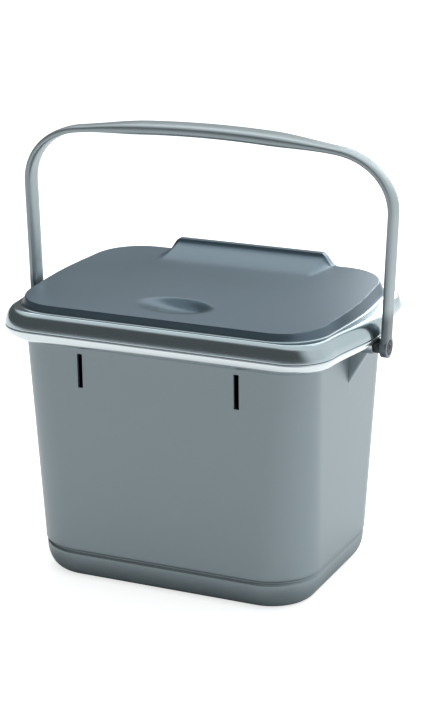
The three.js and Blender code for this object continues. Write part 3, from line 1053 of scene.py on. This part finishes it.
@dataclass
class Lid:
    """The lid: a skirt, a sloped platform, a thumb dimple, a raised hood and two hinge knuckles."""

    plan: RimPlan
    hinge: Hinge
    ledge: float
    finish: MouldedFinish
    skirt_gap: float = 0.0004
    skirt_height: float = 0.0131
    skirt_thickness: float = 0.0022
    skirt_lean: float = 0.0012
    nose_reach: float = 0.0062
    wall: float = 0.0024
    bevel_foot: float = 0.0076
    bevel_start: float = 0.006
    bevel_power: float = 2.2
    bevel_top_blend: float = 0.0026
    bevel_run_share: float = 0.65
    platform_corner: float = 0.036
    platform_swell: float = 0.4
    platform_fade: float = 0.013
    inner_foot: float = 0.0008
    rise_front: float = 0.0061
    rise_rear: float = 0.0117
    crown: float = 0.0016
    dimple_half_x: float = 0.033
    dimple_half_y: float = 0.019
    dimple_depth: float = 0.0066
    dimple_from_front: float = 0.0435
    dimple_lean: tuple[float, float] = (0.35, 0.45)
    dimple_wall_power: float = 1.15
    hood_half: float = 0.072
    hood_side_run: float = 0.009
    hood_length: float = 0.060
    hood_rear_inset: float = 0.0085
    hood_scoop: float = 0.0066
    hood_sink: float = 0.0008
    lip_height: float = 0.0032
    lip_depth: float = 0.010
    lip_lean: float = 0.0012
    steepness: float = 5.0
    edge: float = 0.0007
    web_top_share: float = 0.9993
    climb_most: float = 3.0
    dimple_margin: float = 0.003
    across_spacings: tuple[float, ...] = (0.0012, 0.004, 0.0008, 0.004)
    along_spacings: tuple[float, ...] = (0.0010, 0.003, 0.0022)
    ring_spacings: tuple[float, ...] = (0.0004, 0.0007, 0.0018)
    corner_steps: int = 14
    nose_steps: tuple[int, int] = (10, 24)
    swells: tuple[float, ...] = (0.25, 0.5, 0.75)

    @property
    def skirt_bottom(self) -> float:
        """The height of the skirt's lower edge."""
        return self.ledge + self.skirt_gap

    @property
    def flange(self) -> float:
        """The height of the flat rim round the platform."""
        return self.skirt_bottom + self.skirt_height

    def _platform(self, x: np.ndarray, y: np.ndarray) -> np.ndarray:
        """Finds the platform's height, which rises to the back and is slightly crowned.

        Args:
            x: Places across.
            y: Places along.

        Returns:
            The heights.
        """
        half_x = self.plan.half_x - self.bevel_foot
        half_y = self.plan.half_y - self.bevel_foot
        share = np.clip((y + half_y) / (2 * half_y), 0.0, 1.0)
        crown = np.clip(1 - (x / half_x) ** 2, 0.0, None) * np.clip(1 - (y / half_y) ** 2, 0.0, None)
        return self.flange + lerp(self.rise_front, self.rise_rear, share) + self.crown * crown

    def _hood(self, x: np.ndarray, y: np.ndarray, thickness: float) -> np.ndarray:
        """Returns the hood's height: a scoop that rises to a lip, sloped down at both sides.

        Args:
            x: Places across.
            y: Places along.
            thickness: How far the surface lies inside the outer one.

        Returns:
            Heights, which lie under the plate where there is no hood.
        """
        rear = self.plan.half_y - self.hood_rear_inset - thickness
        foot = self.plan.half_y - self.hood_rear_inset - self.lip_depth + thickness
        front = self.plan.half_y - self.hood_rear_inset - self.hood_length + thickness
        half = self.hood_half - thickness
        share = np.clip((y - front) / (foot - front), 0.0, 1.0)
        scoop = (self.hood_scoop + self.hood_sink) * share * share
        lip = self.lip_height * smooth_step(y, foot - self.edge / 2, foot + self.lip_lean + self.edge / 2)
        across = smooth_step(np.abs(x), half + self.edge, half - self.hood_side_run - self.edge)
        plate = self._platform(x, np.minimum(y, rear)) - thickness
        top = plate - self.hood_sink + across * (scoop + lip)
        behind = self.flange - thickness + self.lip_lean + (rear + self.lip_lean - y) * self.steepness
        beside = plate + (half + self.edge - np.abs(x)) * self.steepness
        ahead = plate + (y - front) * self.steepness
        return soft_min(soft_min(soft_min(top, behind, 2 * self.edge), beside, 2 * self.edge), ahead, self.edge)

    def _height(self, x: np.ndarray, y: np.ndarray, inset: np.ndarray, thickness: float) -> np.ndarray:
        """Returns the height of the lid's top, or of its underside.

        Args:
            x: Places across.
            y: Places along.
            inset: How far each place lies inside the rim's outline.
            thickness: 0 for the top, and the wall for the underside.

        Returns:
            The heights.
        """
        under = thickness > 0
        level = self.flange - (self.skirt_thickness if under else 0.0)
        drawn_in = inset - (self.inner_foot if under else 0.0)
        rise = self._platform(x, y) - thickness - level
        edge_inset = self.bevel_start + self.bevel_run_share * rise
        climb = np.clip((drawn_in - self.bevel_foot) / (edge_inset - self.bevel_foot), 0.0, self.climb_most)
        plate = level + soft_min(rise * climb ** self.bevel_power, rise, self.bevel_top_blend)
        return soft_max(plate, self._hood(x, y, thickness), self.edge) - self._dimple(x, y, thickness)

    def _dimple(self, x: np.ndarray, y: np.ndarray, thickness: float) -> np.ndarray:
        """Returns how deep the thumb dimple is: a soft hollow that leans to its steeper wall.

        Args:
            x: Places across.
            y: Places along.
            thickness: How far the surface lies inside the outer one.

        Returns:
            The depths, 0 outside the dimple.
        """
        lean_x, lean_y = self.dimple_lean
        across = x / (self.dimple_half_x + thickness) - lean_x
        along = (y - self.dimple_from_front + self.plan.half_y) / (self.dimple_half_y + thickness) - lean_y
        reach = np.maximum(np.hypot(across, along), MERGE_DISTANCE)
        facing = (lean_x * across + lean_y * along) / reach
        edge = np.sqrt(facing ** 2 + 1 - lean_x ** 2 - lean_y ** 2) - facing
        return self.dimple_depth * (1 - smooth_step((reach / edge) ** self.dimple_wall_power, 0.0, 1.0))

    def _lines(self) -> tuple[np.ndarray, np.ndarray]:
        """Lays out the lines inside the corners, closer where the shape turns.

        Returns:
            Their places across and along.
        """
        end_x = self.plan.half_x - self.plan.corner
        end_y = self.plan.half_y - self.plan.corner
        hood_start = self.hood_half - self.hood_side_run - 2 * self.edge
        hood_stop = self.hood_half + 3 * self.edge
        stops = (self.dimple_half_x + self.dimple_margin, hood_start, hood_stop, end_x)
        right = graded(0.0, zip(stops, self.across_spacings))
        across = [-x for x in reversed(right[1:])] + right
        dimple_end = self.dimple_from_front - self.plan.half_y + self.dimple_half_y + self.dimple_margin
        hood_front = self.plan.half_y - self.hood_rear_inset - self.hood_length
        along = graded(-end_y, zip((dimple_end, hood_front, end_y), self.along_spacings))
        return np.array(across), np.array(along)

    def _outline(self, inset: float, swell: float, wide: float = 0.0) -> np.ndarray:
        """Returns one ring round the lid.

        Args:
            inset: How far it lies inside the rim's outline.
            swell: The ears' share.
            wide: How far its corners are rounder than the rim's, from 0 to 1.

        Returns:
            Places across and along, one row for each point.
        """
        across, along = self._lines()
        end_x, end_y = across[-1], along[-1]
        corner = max(self.plan.corner - inset, 0.0)
        sides = (
            ([(x, -end_y - corner) for x in across], (end_x, -end_y), -90),
            ([(end_x + corner, y) for y in along], (end_x, end_y), 0),
            ([(x, end_y + corner) for x in across[::-1]], (-end_x, end_y), 90),
            ([(-end_x - corner, y) for y in along[::-1]], (-end_x, -end_y), 180),
        )
        points = []
        for straight, (middle_x, middle_y), start in sides:
            points += straight
            for step in range(1, self.corner_steps):
                angle = math.radians(start + 90 * step / self.corner_steps)
                points.append((middle_x + corner * math.cos(angle), middle_y + corner * math.sin(angle)))
        ring = np.array(points)
        if wide > 0:
            round_corner = lerp(corner, self.platform_corner, wide)
            reach = np.array([self.plan.half_x, self.plan.half_y]) - inset - round_corner
            centre = np.clip(ring, -reach, reach)
            away = ring - centre
            ring = centre + away / np.linalg.norm(away, axis=1)[:, None] * round_corner
        ring[:, 0] = self.plan.ear_swell(ring[:, 0], ring[:, 1], swell)
        return ring

    def _ring_insets(self) -> list[float]:
        """Lays out the rings over the bevel and the platform, closer where the lip stands.

        Returns:
            Their insets.
        """
        bevel_end = self.bevel_start + self.bevel_run_share * self.rise_rear + self.bevel_top_blend / 2
        lip = self.hood_rear_inset + self.lip_depth + 2 * self.edge
        return graded(self.bevel_foot, zip((bevel_end, lip, self.plan.corner), self.ring_spacings))

    def _nose(self, thickness: float, steps: int) -> list[tuple[float, float]]:
        """Lays out the skirt's rounded nose, from above its foot to its crest.

        Args:
            thickness: 0 for the outside, and the skirt's thickness for the inside.
            steps: How many places it has.

        Returns:
            The places' insets and heights.
        """
        high = self.skirt_height - thickness
        places = []
        for angle in np.linspace(0, math.pi / 2, steps):
            rise = max(high * math.sin(angle), self.edge)
            curve = (self.nose_reach - thickness) * (1 - math.cos(angle))
            places.append((thickness + self.skirt_lean * rise / self.skirt_height + curve, self.skirt_bottom + rise))
        return places

    def _rings(self) -> list[np.ndarray]:
        """Lays out the rings, from the underside's middle round the skirt to the top's middle.

        Returns:
            Each ring's points.
        """
        def plate(inset: float, thickness: float) -> np.ndarray:
            """Lays out a ring over the platform, or under it.

            Args:
                inset: How far it lies inside the rim's outline.
                thickness: 0 for the top, and the wall for the underside.

            Returns:
                The ring's points.
            """
            fade = float(smooth_step(np.float64(inset), self.plan.corner, self.platform_fade))
            flat = self._outline(inset, self.platform_swell * fade, fade)
            height = self._height(flat[:, 0], flat[:, 1], np.full(len(flat), inset), thickness)
            return np.column_stack([flat, height])

        def level(inset: float, height: float, share: float = 1.0) -> np.ndarray:
            """Returns a level ring, whose ears are full at a share of 1."""
            flat = self._outline(inset, lerp(self.platform_swell, 1.0, share), 1 - share)
            return np.column_stack([flat, np.full(len(flat), height)])

        insets = self._ring_insets()
        inner = self.skirt_thickness
        inside, outside = (self._nose(depth, steps) for depth, steps in zip((inner, 0.0), self.nose_steps))
        rings = [plate(inset, self.wall) for inset in reversed(insets)]
        rings += [level(lerp(self.bevel_foot, inside[-1][0], share), inside[-1][1], share) for share in self.swells]
        rings += [level(inset, height) for inset, height in reversed(inside)]
        rings += [level(inner - self.edge * CORNER_SHARE, self.skirt_bottom + self.edge * CORNER_SHARE)]
        rings += [level(inner - self.edge, self.skirt_bottom), level(self.edge, self.skirt_bottom)]
        rings += [level(self.edge * CORNER_SHARE, self.skirt_bottom + self.edge * CORNER_SHARE)]
        rings += [level(inset, height) for inset, height in outside]
        rings += [level(lerp(self.bevel_foot, outside[-1][0], share), self.flange, share)
                  for share in reversed(self.swells)]
        rings += [plate(inset, 0.0) for inset in insets]
        return rings

    def _shell(self) -> Object:
        """Builds the lid's closed shell.

        Returns:
            The shell.
        """
        rings = self._rings()
        count = len(rings[0])
        points = [tuple(point) for ring in rings for point in ring]
        numbers = [range(index * count, (index + 1) * count) for index in range(len(rings))]
        faces = [face for first, second in zip(numbers, numbers[1:]) for face in ring_faces(first, second)]
        across, along = self._lines()
        grid_x, grid_y = np.meshgrid(across, along, indexing="ij")
        flat_x, flat_y = grid_x.ravel(), grid_y.ravel()
        for thickness in (self.wall, 0.0):
            start = len(points)
            height = self._height(flat_x, flat_y, np.full(len(flat_x), self.plan.corner), thickness)
            points += [tuple(point) for point in np.column_stack([flat_x, flat_y, height])]
            columns = len(along)
            for i in range(len(across) - 1):
                for j in range(columns - 1):
                    first = start + i * columns + j
                    faces.append((first, first + columns, first + columns + 1, first + 1))
        return mesh_object("lid_shell", points, faces)

    def _knuckle(self, side: int) -> list[Object]:
        """Makes one knuckle and the web that ties it to the skirt.

        Args:
            side: -1 or 1.

        Returns:
            Both shapes.
        """
        hinge = self.hinge
        middle = side * hinge.spacing / 2
        skirt_y = self.plan.half_y - self.skirt_thickness / 2
        centre = hinge.centre
        top = centre.z + hinge.knuckle_radius
        web = [
            (skirt_y, top * self.web_top_share),
            (skirt_y, self.skirt_bottom + self.edge),
            (centre.y, self.skirt_bottom + self.edge),
            (centre.y + hinge.knuckle_radius / 2, centre.z + hinge.knuckle_radius / 2),
            (centre.y, top * self.web_top_share),
        ]
        barrel = hinge.barrel("knuckle", middle, hinge.knuckle_length)
        return [barrel, prism("knuckle_web", web, 0, middle, hinge.knuckle_length - hinge.edge)]

    def build(self) -> Object:
        """Builds the lid and dresses it.

        Returns:
            The finished piece.
        """
        piece = self._shell()
        combine(piece, [tool for _, side in SIDES for tool in self._knuckle(side)], Joining.ADD)
        combine(piece, [self.hinge.bore(side) for _, side in SIDES], Joining.CUT)
        return dress(piece, "caddy_lid", self.finish.make(), Body.LID, ["lid"])


@dataclass
class Handle:
    """The carry handle: a bail with a wider grip and a round hub at each end."""

    pivot: Vector
    finish: MouldedFinish
    arm_inner: float = 0.14575
    arm_thickness: float = 0.0055
    arm_width: float = 0.0165
    rise: float = 0.1526
    flare: float = 0.0034
    arch: float = 0.0125
    corner: float = 0.044
    corner_pull_share: float = 0.5523
    grip_width: float = 0.025
    grip_thickness: float = 0.009
    grip_half: float = 0.052
    grip_blend: float = 0.054
    section_share: float = 0.6
    hub_radius: float = 0.0084
    bore_radius: float = 0.0035
    seat_radius: float = 0.0057
    seat_depth: float = 0.0021
    edge: float = 0.0006
    arm_places: int = 18
    corner_places: int = 33
    bar_places: int = 73
    section_sides: int = 40

    def _path(self) -> list[tuple[float, float]]:
        """Lays out the centre line, from the left pivot over the bar to the right one.

        Returns:
            Its places as X and Z.
        """
        pivot_x = self.arm_inner + self.arm_thickness / 2
        half = pivot_x + self.flare
        top = self.pivot.z + self.rise
        start = half - self.corner

        def bar_height(x: float) -> float:
            """Returns the height of the arched bar at a place across."""
            return top - self.arch * (x / half) ** 2

        slope = 2 * self.arch * start / half ** 2
        arm_end = bar_height(start) - self.corner
        pull = self.corner_pull_share * self.corner
        bend = (Vector((half, arm_end)), Vector((half, arm_end + pull)),
                Vector((start + pull, bar_height(start) - slope * pull)), Vector((start, bar_height(start))))
        right = [(lerp(pivot_x, half, share), lerp(self.pivot.z, arm_end, share))
                 for share in np.linspace(0, 1, self.arm_places)[:-1]]
        for share in np.linspace(0, 1, self.corner_places):
            keep = 1 - share
            weights = (keep ** 3, 3 * keep ** 2 * share, 3 * keep * share ** 2, share ** 3)
            place = sum((point * weight for point, weight in zip(bend, weights)), Vector((0.0, 0.0)))
            right.append((place.x, place.y))
        bar = [(x, bar_height(x)) for x in np.linspace(-start, start, self.bar_places)[1:-1]]
        return [(-x, z) for x, z in right] + bar + right[::-1]

    @staticmethod
    def _tree() -> ShapeTree:
        """Makes the tree that sweeps a soft cornered strap along the handle's path.

        Returns:
            The tree.
        """
        tree = ShapeTree("Carry handle strap")
        path, path_count = tree.guide("Path")
        sides = tree.named_input("Sides", "NodeSocketInt")
        arm_width, arm_thickness, grip_width, grip_thickness = tree.named_numbers(
            "Arm width", "Arm thickness", "Grip width", "Grip thickness")
        grip_half, grip_end, roundness = tree.named_numbers("Grip half length", "Grip end", "Section share")
        grid, column, row = tree.woven_grid(path_count, tree.math("ADD", sides, 1))
        place_x, _, place_z = tree.split(tree.sample(path, "place", "FLOAT_VECTOR", column))
        across_x, _, across_z = tree.split(tree.sample(path, "across", "FLOAT_VECTOR", column))
        spread = tree.sample(path, "spread", "FLOAT", column)
        grip = tree.node("ShaderNodeMapRange", {
            "Value": tree.math("ABSOLUTE", place_x), "From Min": grip_half, "From Max": grip_end,
            "To Min": 1.0, "To Max": 0.0}, interpolation_type="SMOOTHSTEP").outputs[0]
        angle = tree.product(tree.math("DIVIDE", tree.math("MODULO", row, sides), sides), 2 * math.pi)

        def reach(wave: str, arm: Socket, held: Socket) -> SocketOrNumber:
            """Sizes the section one way.

            Args:
                wave: COSINE or SINE.
                arm: The arm's size that way.
                held: The grip's size that way.

            Returns:
                How far each point lies from the centre line.
            """
            turn = tree.math(wave, angle)
            size = tree.math("MULTIPLY_ADD", grip, tree.math("SUBTRACT", held, arm), arm)
            power = tree.math("POWER", tree.math("ABSOLUTE", turn), roundness)
            return tree.product(tree.math("SIGN", turn), power, size, spread, 0.5)

        out = reach("COSINE", arm_thickness, grip_thickness)
        x = tree.math("MULTIPLY_ADD", across_x, out, place_x)
        z = tree.math("MULTIPLY_ADD", across_z, out, place_z)
        tree.close(grid, tree.vector(x, reach("SINE", arm_width, grip_width), z))
        return tree

    def _strap(self, material: Material) -> Object:
        """Sweeps the strap along the path.

        Args:
            material: The finish.

        Returns:
            The closed strap.
        """
        path = np.array(self._path())
        step = np.gradient(path, axis=0)
        step /= np.linalg.norm(step, axis=1)[:, None]
        places = [(x, 0.0, z) for x, z in path]
        normals = [(z, 0.0, -x) for x, z in step]
        guide = guide_object("path_guide", {
            "place": [places[0], *places, places[-1]],
            "across": [normals[0], *normals, normals[-1]],
            "spread": [0.0, *[1.0] * len(places), 0.0],
        })
        strap = self._tree().build("strap", {
            "Path": guide,
            "Sides": self.section_sides,
            "Arm width": self.arm_width,
            "Arm thickness": self.arm_thickness,
            "Grip width": self.grip_width,
            "Grip thickness": self.grip_thickness,
            "Grip half length": self.grip_half,
            "Grip end": self.grip_half + self.grip_blend,
            "Section share": self.section_share,
            "Finish": material,
        })
        bpy.data.objects.remove(guide)
        return strap

    def build(self) -> Object:
        """Builds the handle and dresses it.

        Returns:
            The finished piece.
        """
        material = self.finish.make()
        piece = self._strap(material)
        outer = self.arm_inner + self.arm_thickness
        hubs, cuts = [], []
        for _, side in SIDES:
            hubs.append(round_bar("hub", self.hub_radius, side * self.arm_inner, side * outer, self.pivot, self.edge))
            past = side * (outer + self.seat_depth)
            before = side * (self.arm_inner - self.seat_depth)
            cuts.append(round_bar("hub_bore", self.bore_radius, before, past, self.pivot, self.edge / 2))
            seat = side * (outer - self.seat_depth)
            cuts.append(round_bar("hub_seat", self.seat_radius, seat, past, self.pivot, self.edge / 2))
        combine(piece, hubs, Joining.ADD)
        combine(piece, cuts, Joining.CUT)
        return dress(piece, "carry_handle", material, Body.HANDLE, ["handle"])


@dataclass
class PivotStuds:
    """The studs that the handle turns on: a shaft in the boss, a shoulder and a flat head in the hub."""

    pivot: Vector
    finish: MouldedFinish
    shaft_start: float = 0.1330
    shoulder_start: float = 0.1398
    shoulder_end: float = 0.14545
    head_start: float = 0.14945
    head_end: float = 0.15125
    shaft_radius: float = 0.0032
    shoulder_radius: float = 0.0056
    head_radius: float = 0.0054
    mark_radius: float = 0.0022
    mark_depth: float = 0.0005
    edge: float = 0.0004

    def build(self) -> list[Object]:
        """Builds both studs and dresses them.

        Returns:
            The finished pieces.
        """
        edge, shaft, shoulder, head = self.edge, self.shaft_radius, self.shoulder_radius, self.head_radius
        near, far = self.shoulder_start, self.shoulder_end
        sunk = self.head_end - self.mark_depth
        outline = [
            (self.shaft_start, 0.0), (self.shaft_start, shaft - edge), (self.shaft_start + edge, shaft),
            (near, shaft), (near, shoulder - edge), (near + edge, shoulder),
            (far - edge, shoulder), (far, shoulder - edge), (far, shaft),
            (self.head_start, shaft), (self.head_start, head - edge / 2), (self.head_start + edge / 2, head),
            (self.head_end - edge, head),
            (self.head_end - edge * CORNER_SHARE, head - edge * CORNER_SHARE), (self.head_end, head - edge),
            (self.head_end, self.mark_radius), (sunk, self.mark_radius - self.mark_depth), (sunk, 0.0),
        ]
        material = self.finish.make()
        made = []
        for word, side in SIDES:
            piece = turned_along_x(f"stud_{word}", [(side * x, radius) for x, radius in outline], self.pivot)
            made.append(dress(piece, f"caddy_stud_{word}", material, Body.STUDS,
                              [f"pivot_stud_{word}"]))
        return made


@dataclass
class HingePins:
    """The two pins of the lid's hinge."""

    hinge: Hinge
    finish: MouldedFinish

    def build(self) -> list[Object]:
        """Builds both pins and dresses them.

        Returns:
            The finished pieces.
        """
        material = self.finish.make()
        return [dress(self.hinge.pin(word, side), f"caddy_pin_{word}", material, Body.BUCKET,
                      [f"hinge_pin_{word}"]) for word, side in SIDES]


def dress(piece: Object, name: str, material: Material, body: Body, nodes: Sequence[str]) -> Object:
    """Gives a piece its name, finish and body, and hides the nodes that it stands for.

    Args:
        piece: The piece.
        name: Its name.
        material: Its finish.
        body: The body that it rides on.
        nodes: The nodes that it replaces.

    Returns:
        The piece.
    """
    piece.name = piece.data.name = name
    piece.data.materials.clear()
    piece.data.materials.append(material)
    piece.data.shade_smooth()
    piece.data.set_sharp_from_angle(angle=SHARP_ANGLE)
    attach(piece, body.value)
    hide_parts(*nodes)
    log.info("%s: %d faces, rides on %s", name, len(piece.data.polygons), body.value)
    return piece


@dataclass(frozen=True)
class PhotoCamera:
    """The camera at the photo's place, found from the object's edges in the photo."""

    azimuth: float = 24.05
    elevation: float = 16.9
    distance: float = 1.637
    target: Triple = (0.0119, 0.0, 0.1721)
    focal_pixels: float = 2100.0
    long_side_pixels: float = 707.0
    sensor: float = 36.0

    def build(self) -> Object:
        """Makes the camera and gives it to the scene.

        Returns:
            The camera.
        """
        data = bpy.data.cameras.new("photo_camera")
        data.sensor_width = self.sensor
        data.lens = self.focal_pixels * self.sensor / self.long_side_pixels
        camera = new_object("photo_camera", data)
        back = direction(self.azimuth, self.elevation)
        camera.location = Vector(self.target) + back * self.distance
        camera.rotation_euler = (-back).to_track_quat("-Z", "Y").to_euler()
        bpy.context.scene.camera = camera
        return camera


@dataclass(frozen=True)
class Softbox:
    """One large soft lamp that points at the caddy."""

    name: str
    azimuth: float
    elevation: float
    distance: float
    width: float
    height: float
    power: float

    def build(self, aim: Vector) -> Object:
        """Makes the lamp.

        Args:
            aim: The point that it faces.

        Returns:
            The lamp.
        """
        data = bpy.data.lights.new(self.name, "AREA")
        data.shape = "RECTANGLE"
        data.size, data.size_y, data.energy = self.width, self.height, self.power
        lamp = new_object(self.name, data)
        back = direction(self.azimuth, self.elevation)
        lamp.location = aim + back * self.distance
        lamp.rotation_euler = back.to_track_quat("Z", "Y").to_euler()
        lamp.visible_camera = False
        return lamp


@dataclass(frozen=True)
class Glow:
    """A soft bright patch of the surround, brightest at its middle."""

    azimuth: float
    elevation: float
    start: float
    end: float
    strength: float


@dataclass(frozen=True)
class Studio:
    """A pale floor, a bright ceiling over a dim ring with two soft glows in it, and two soft lamps."""

    footprint: tuple[float, float] = (0.112, 0.080)
    floor_size: float = 12.0
    floor_tint: float = 0.86
    floor_roughness: float = 0.8
    floor_to_camera: float = 0.72
    floor_to_gloss: float = 0.52
    floor_shade: float = 0.045
    air_tint: Triple = (0.97, 0.99, 1.0)
    ring_strength: float = 0.11
    ceiling_strength: float = 0.68
    ceiling_to_gloss: float = 1.0
    ceiling_lean: float = 0.276
    ceiling_start: float = 0.55
    ceiling_end: float = 0.76
    glows: tuple[Glow, ...] = (
        Glow(azimuth=100.0, elevation=26.0, start=0.50, end=0.94, strength=0.80),
        Glow(azimuth=150.0, elevation=8.0, start=0.74, end=0.94, strength=0.88),
    )
    lamps: tuple[Softbox, ...] = (
        Softbox("back_softbox", azimuth=190.0, elevation=50.0, distance=1.7, width=1.8, height=1.2, power=7.0),
        Softbox("low_back_softbox", azimuth=173.0, elevation=17.0, distance=0.8, width=0.45, height=0.3, power=1.9),
    )

    @staticmethod
    def _sight(tree: Wiring) -> tuple[Socket, Socket]:
        """Returns 1 where the camera looks straight at a place, and 1 where gloss or glass shows it."""
        path = tree.node("ShaderNodeLightPath").outputs
        return path["Is Camera Ray"], tree.share("ADD", path["Is Glossy Ray"], path["Is Transmission Ray"])

    def _world(self) -> None:
        """Makes the surround: white to the camera, and a ceiling, a ring and glows to the rest."""
        world = bpy.data.worlds.new("surround")
        world.use_nodes = True
        bpy.context.scene.world = world
        tree = Wiring(world.node_tree)
        to_camera, mirrored = self._sight(tree)
        towards = tree.node("ShaderNodeTexCoord").outputs["Generated"]

        def patch(middle: Sequence[float], start: float, end: float) -> Socket:
            """Returns a soft patch round a direction, between two cosines."""
            near = tree.vector_math("DOT_PRODUCT", towards, middle).outputs["Value"]
            return tree.smooth_share(near, start, end)

        ceiling = patch((0.0, self.ceiling_lean, 1.0), self.ceiling_start, self.ceiling_end)
        extra = tree.share("MULTIPLY", mirrored, self.ceiling_to_gloss - self.ceiling_strength)
        above = tree.share("ADD", self.ceiling_strength - self.ring_strength, extra)
        level = tree.share("ADD", tree.share("MULTIPLY", ceiling, above), self.ring_strength)
        for glow in self.glows:
            bright = patch(direction(glow.azimuth, glow.elevation), glow.start, glow.end)
            level = tree.share("ADD", level, tree.share("MULTIPLY", bright, glow.strength))
        strength = tree.share("ADD", level, to_camera)
        tree.feed(tree.nodes["Background"], {"Color": (*self.air_tint, 1.0), "Strength": strength})

    def _floor(self) -> None:
        """Makes the pale floor that the caddy stands on, white to the camera but for the caddy's shadow, with a
        painted shadow round its footprint in what reflections see.
        """
        half = self.floor_size / 2
        mesh = bpy.data.meshes.new("floor")
        mesh.from_pydata([(-half, -half, 0), (half, -half, 0), (half, half, 0), (-half, half, 0)], [], [(0, 1, 2, 3)])
        floor = new_object("floor", mesh)
        material = bpy.data.materials.new("pale_floor")
        material.use_nodes = True
        tree = Wiring(material.node_tree)
        shader = tree.nodes["Principled BSDF"]
        tree.feed(shader, {"Base Color": (self.floor_tint,) * 3 + (1.0,), "Roughness": self.floor_roughness})
        place = tree.vector_math("ABSOLUTE", tree.node("ShaderNodeTexCoord").outputs["Object"]).outputs[0]
        past = tree.vector_math("SUBTRACT", place, (*self.footprint, 0.0)).outputs[0]
        away = tree.vector_math("LENGTH", tree.vector_math("MAXIMUM", past, Vector()).outputs[0]).outputs["Value"]
        to_camera, mirrored = self._sight(tree)
        # Painted shadow: the white that reflections see in the floor fades to nothing at the caddy's footprint.
        seen = tree.share("MULTIPLY", tree.share("MULTIPLY", mirrored, self.floor_to_gloss),
                          tree.smooth_share(away, 0.0, self.floor_shade))
        strength = tree.share("ADD", seen, tree.share("MULTIPLY", to_camera, self.floor_to_camera))
        white = tree.node("ShaderNodeEmission", {"Strength": strength})
        both = tree.node("ShaderNodeAddShader", {0: shader.outputs[0], 1: white.outputs[0]})
        tree.feed(tree.nodes["Material Output"], {"Surface": both.outputs[0]})
        mesh.materials.append(material)

    def build(self) -> None:
        """Makes the floor, the surround and the lamps."""
        self._world()
        self._floor()
        aim = sum(cad_box, Vector()) / 2
        for lamp in self.lamps:
            lamp.build(aim)
        bpy.context.scene.view_settings.view_transform = "Standard"


def main() -> None:
    """Builds the camera, the studio and every piece of the caddy."""
    logging.basicConfig(level=logging.INFO, format="%(name)s %(message)s")
    PhotoCamera().build()
    Studio().build()
    low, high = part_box("lid")
    ear_reach = RimPlan.ear_reach
    hinge_place = Vector(joint("lid_hinge")["pos_m"])
    plan = RimPlan(half_x=(high.x - low.x) / 2 - ear_reach, half_y=-low.y)
    hinge = Hinge(centre=hinge_place)
    pivot = Vector(joint("handle_swing")["pos_m"])
    satin = dict(roughness=0.38, metallic=0.6)
    # Partly painted highlight: the collar band gets a far lighter, glossier tint than the wall, which brightens the
    # floor's rendered reflection there.
    collar = PaintedLightBand(low=0.1958, high=1.0, fade=0.0045)
    # Partly painted reflection: the skirt and its nose get a lighter, glossier tint than the lid's top, which
    # brightens the rendered reflections that make its light line and dark band.
    skirt = PaintedLightBand(low=0.0, high=0.2168, tint=(0.46, 0.55, 0.58), fade=0.0006)
    bucket = Bucket(plan, hinge, pivot, MouldedFinish(
        "satin_bucket", Slot.BUCKET, tint=(0.270, 0.326, 0.348), polish=collar, **satin))
    bucket.build()
    lid = Lid(plan, hinge, bucket.ledge, MouldedFinish(
        "satin_lid", Slot.LID, tint=(0.116, 0.172, 0.212), polish=skirt, **satin))
    lid.build()
    # Painted shade: the handle's arms turn darker towards their feet, below the rim's ears.
    arm_foot_painted_shade = PaintedLightBand(low=0.0, high=0.214, tint=(0.13, 0.16, 0.175), roughness=0.34, metallic=0.6, fade=0.012)
    Handle(pivot, MouldedFinish(
        "satin_handle", Slot.HANDLE, tint=(0.365, 0.43, 0.45), polish=arm_foot_painted_shade, **satin)).build()
    # Partly painted shade: the studs are real pieces, and their near-black colour paints the shade in the gap between
    # each ear and arm.
    PivotStuds(pivot, MouldedFinish(
        "dark_nylon", Slot.STUD, roughness=0.5, metallic=0.0, tint=(0.03, 0.037, 0.043))).build()
    HingePins(hinge, MouldedFinish("satin_pin", Slot.PIN, tint=(0.285, 0.335, 0.350), **satin)).build()


if __name__ == "__main__":
    main()
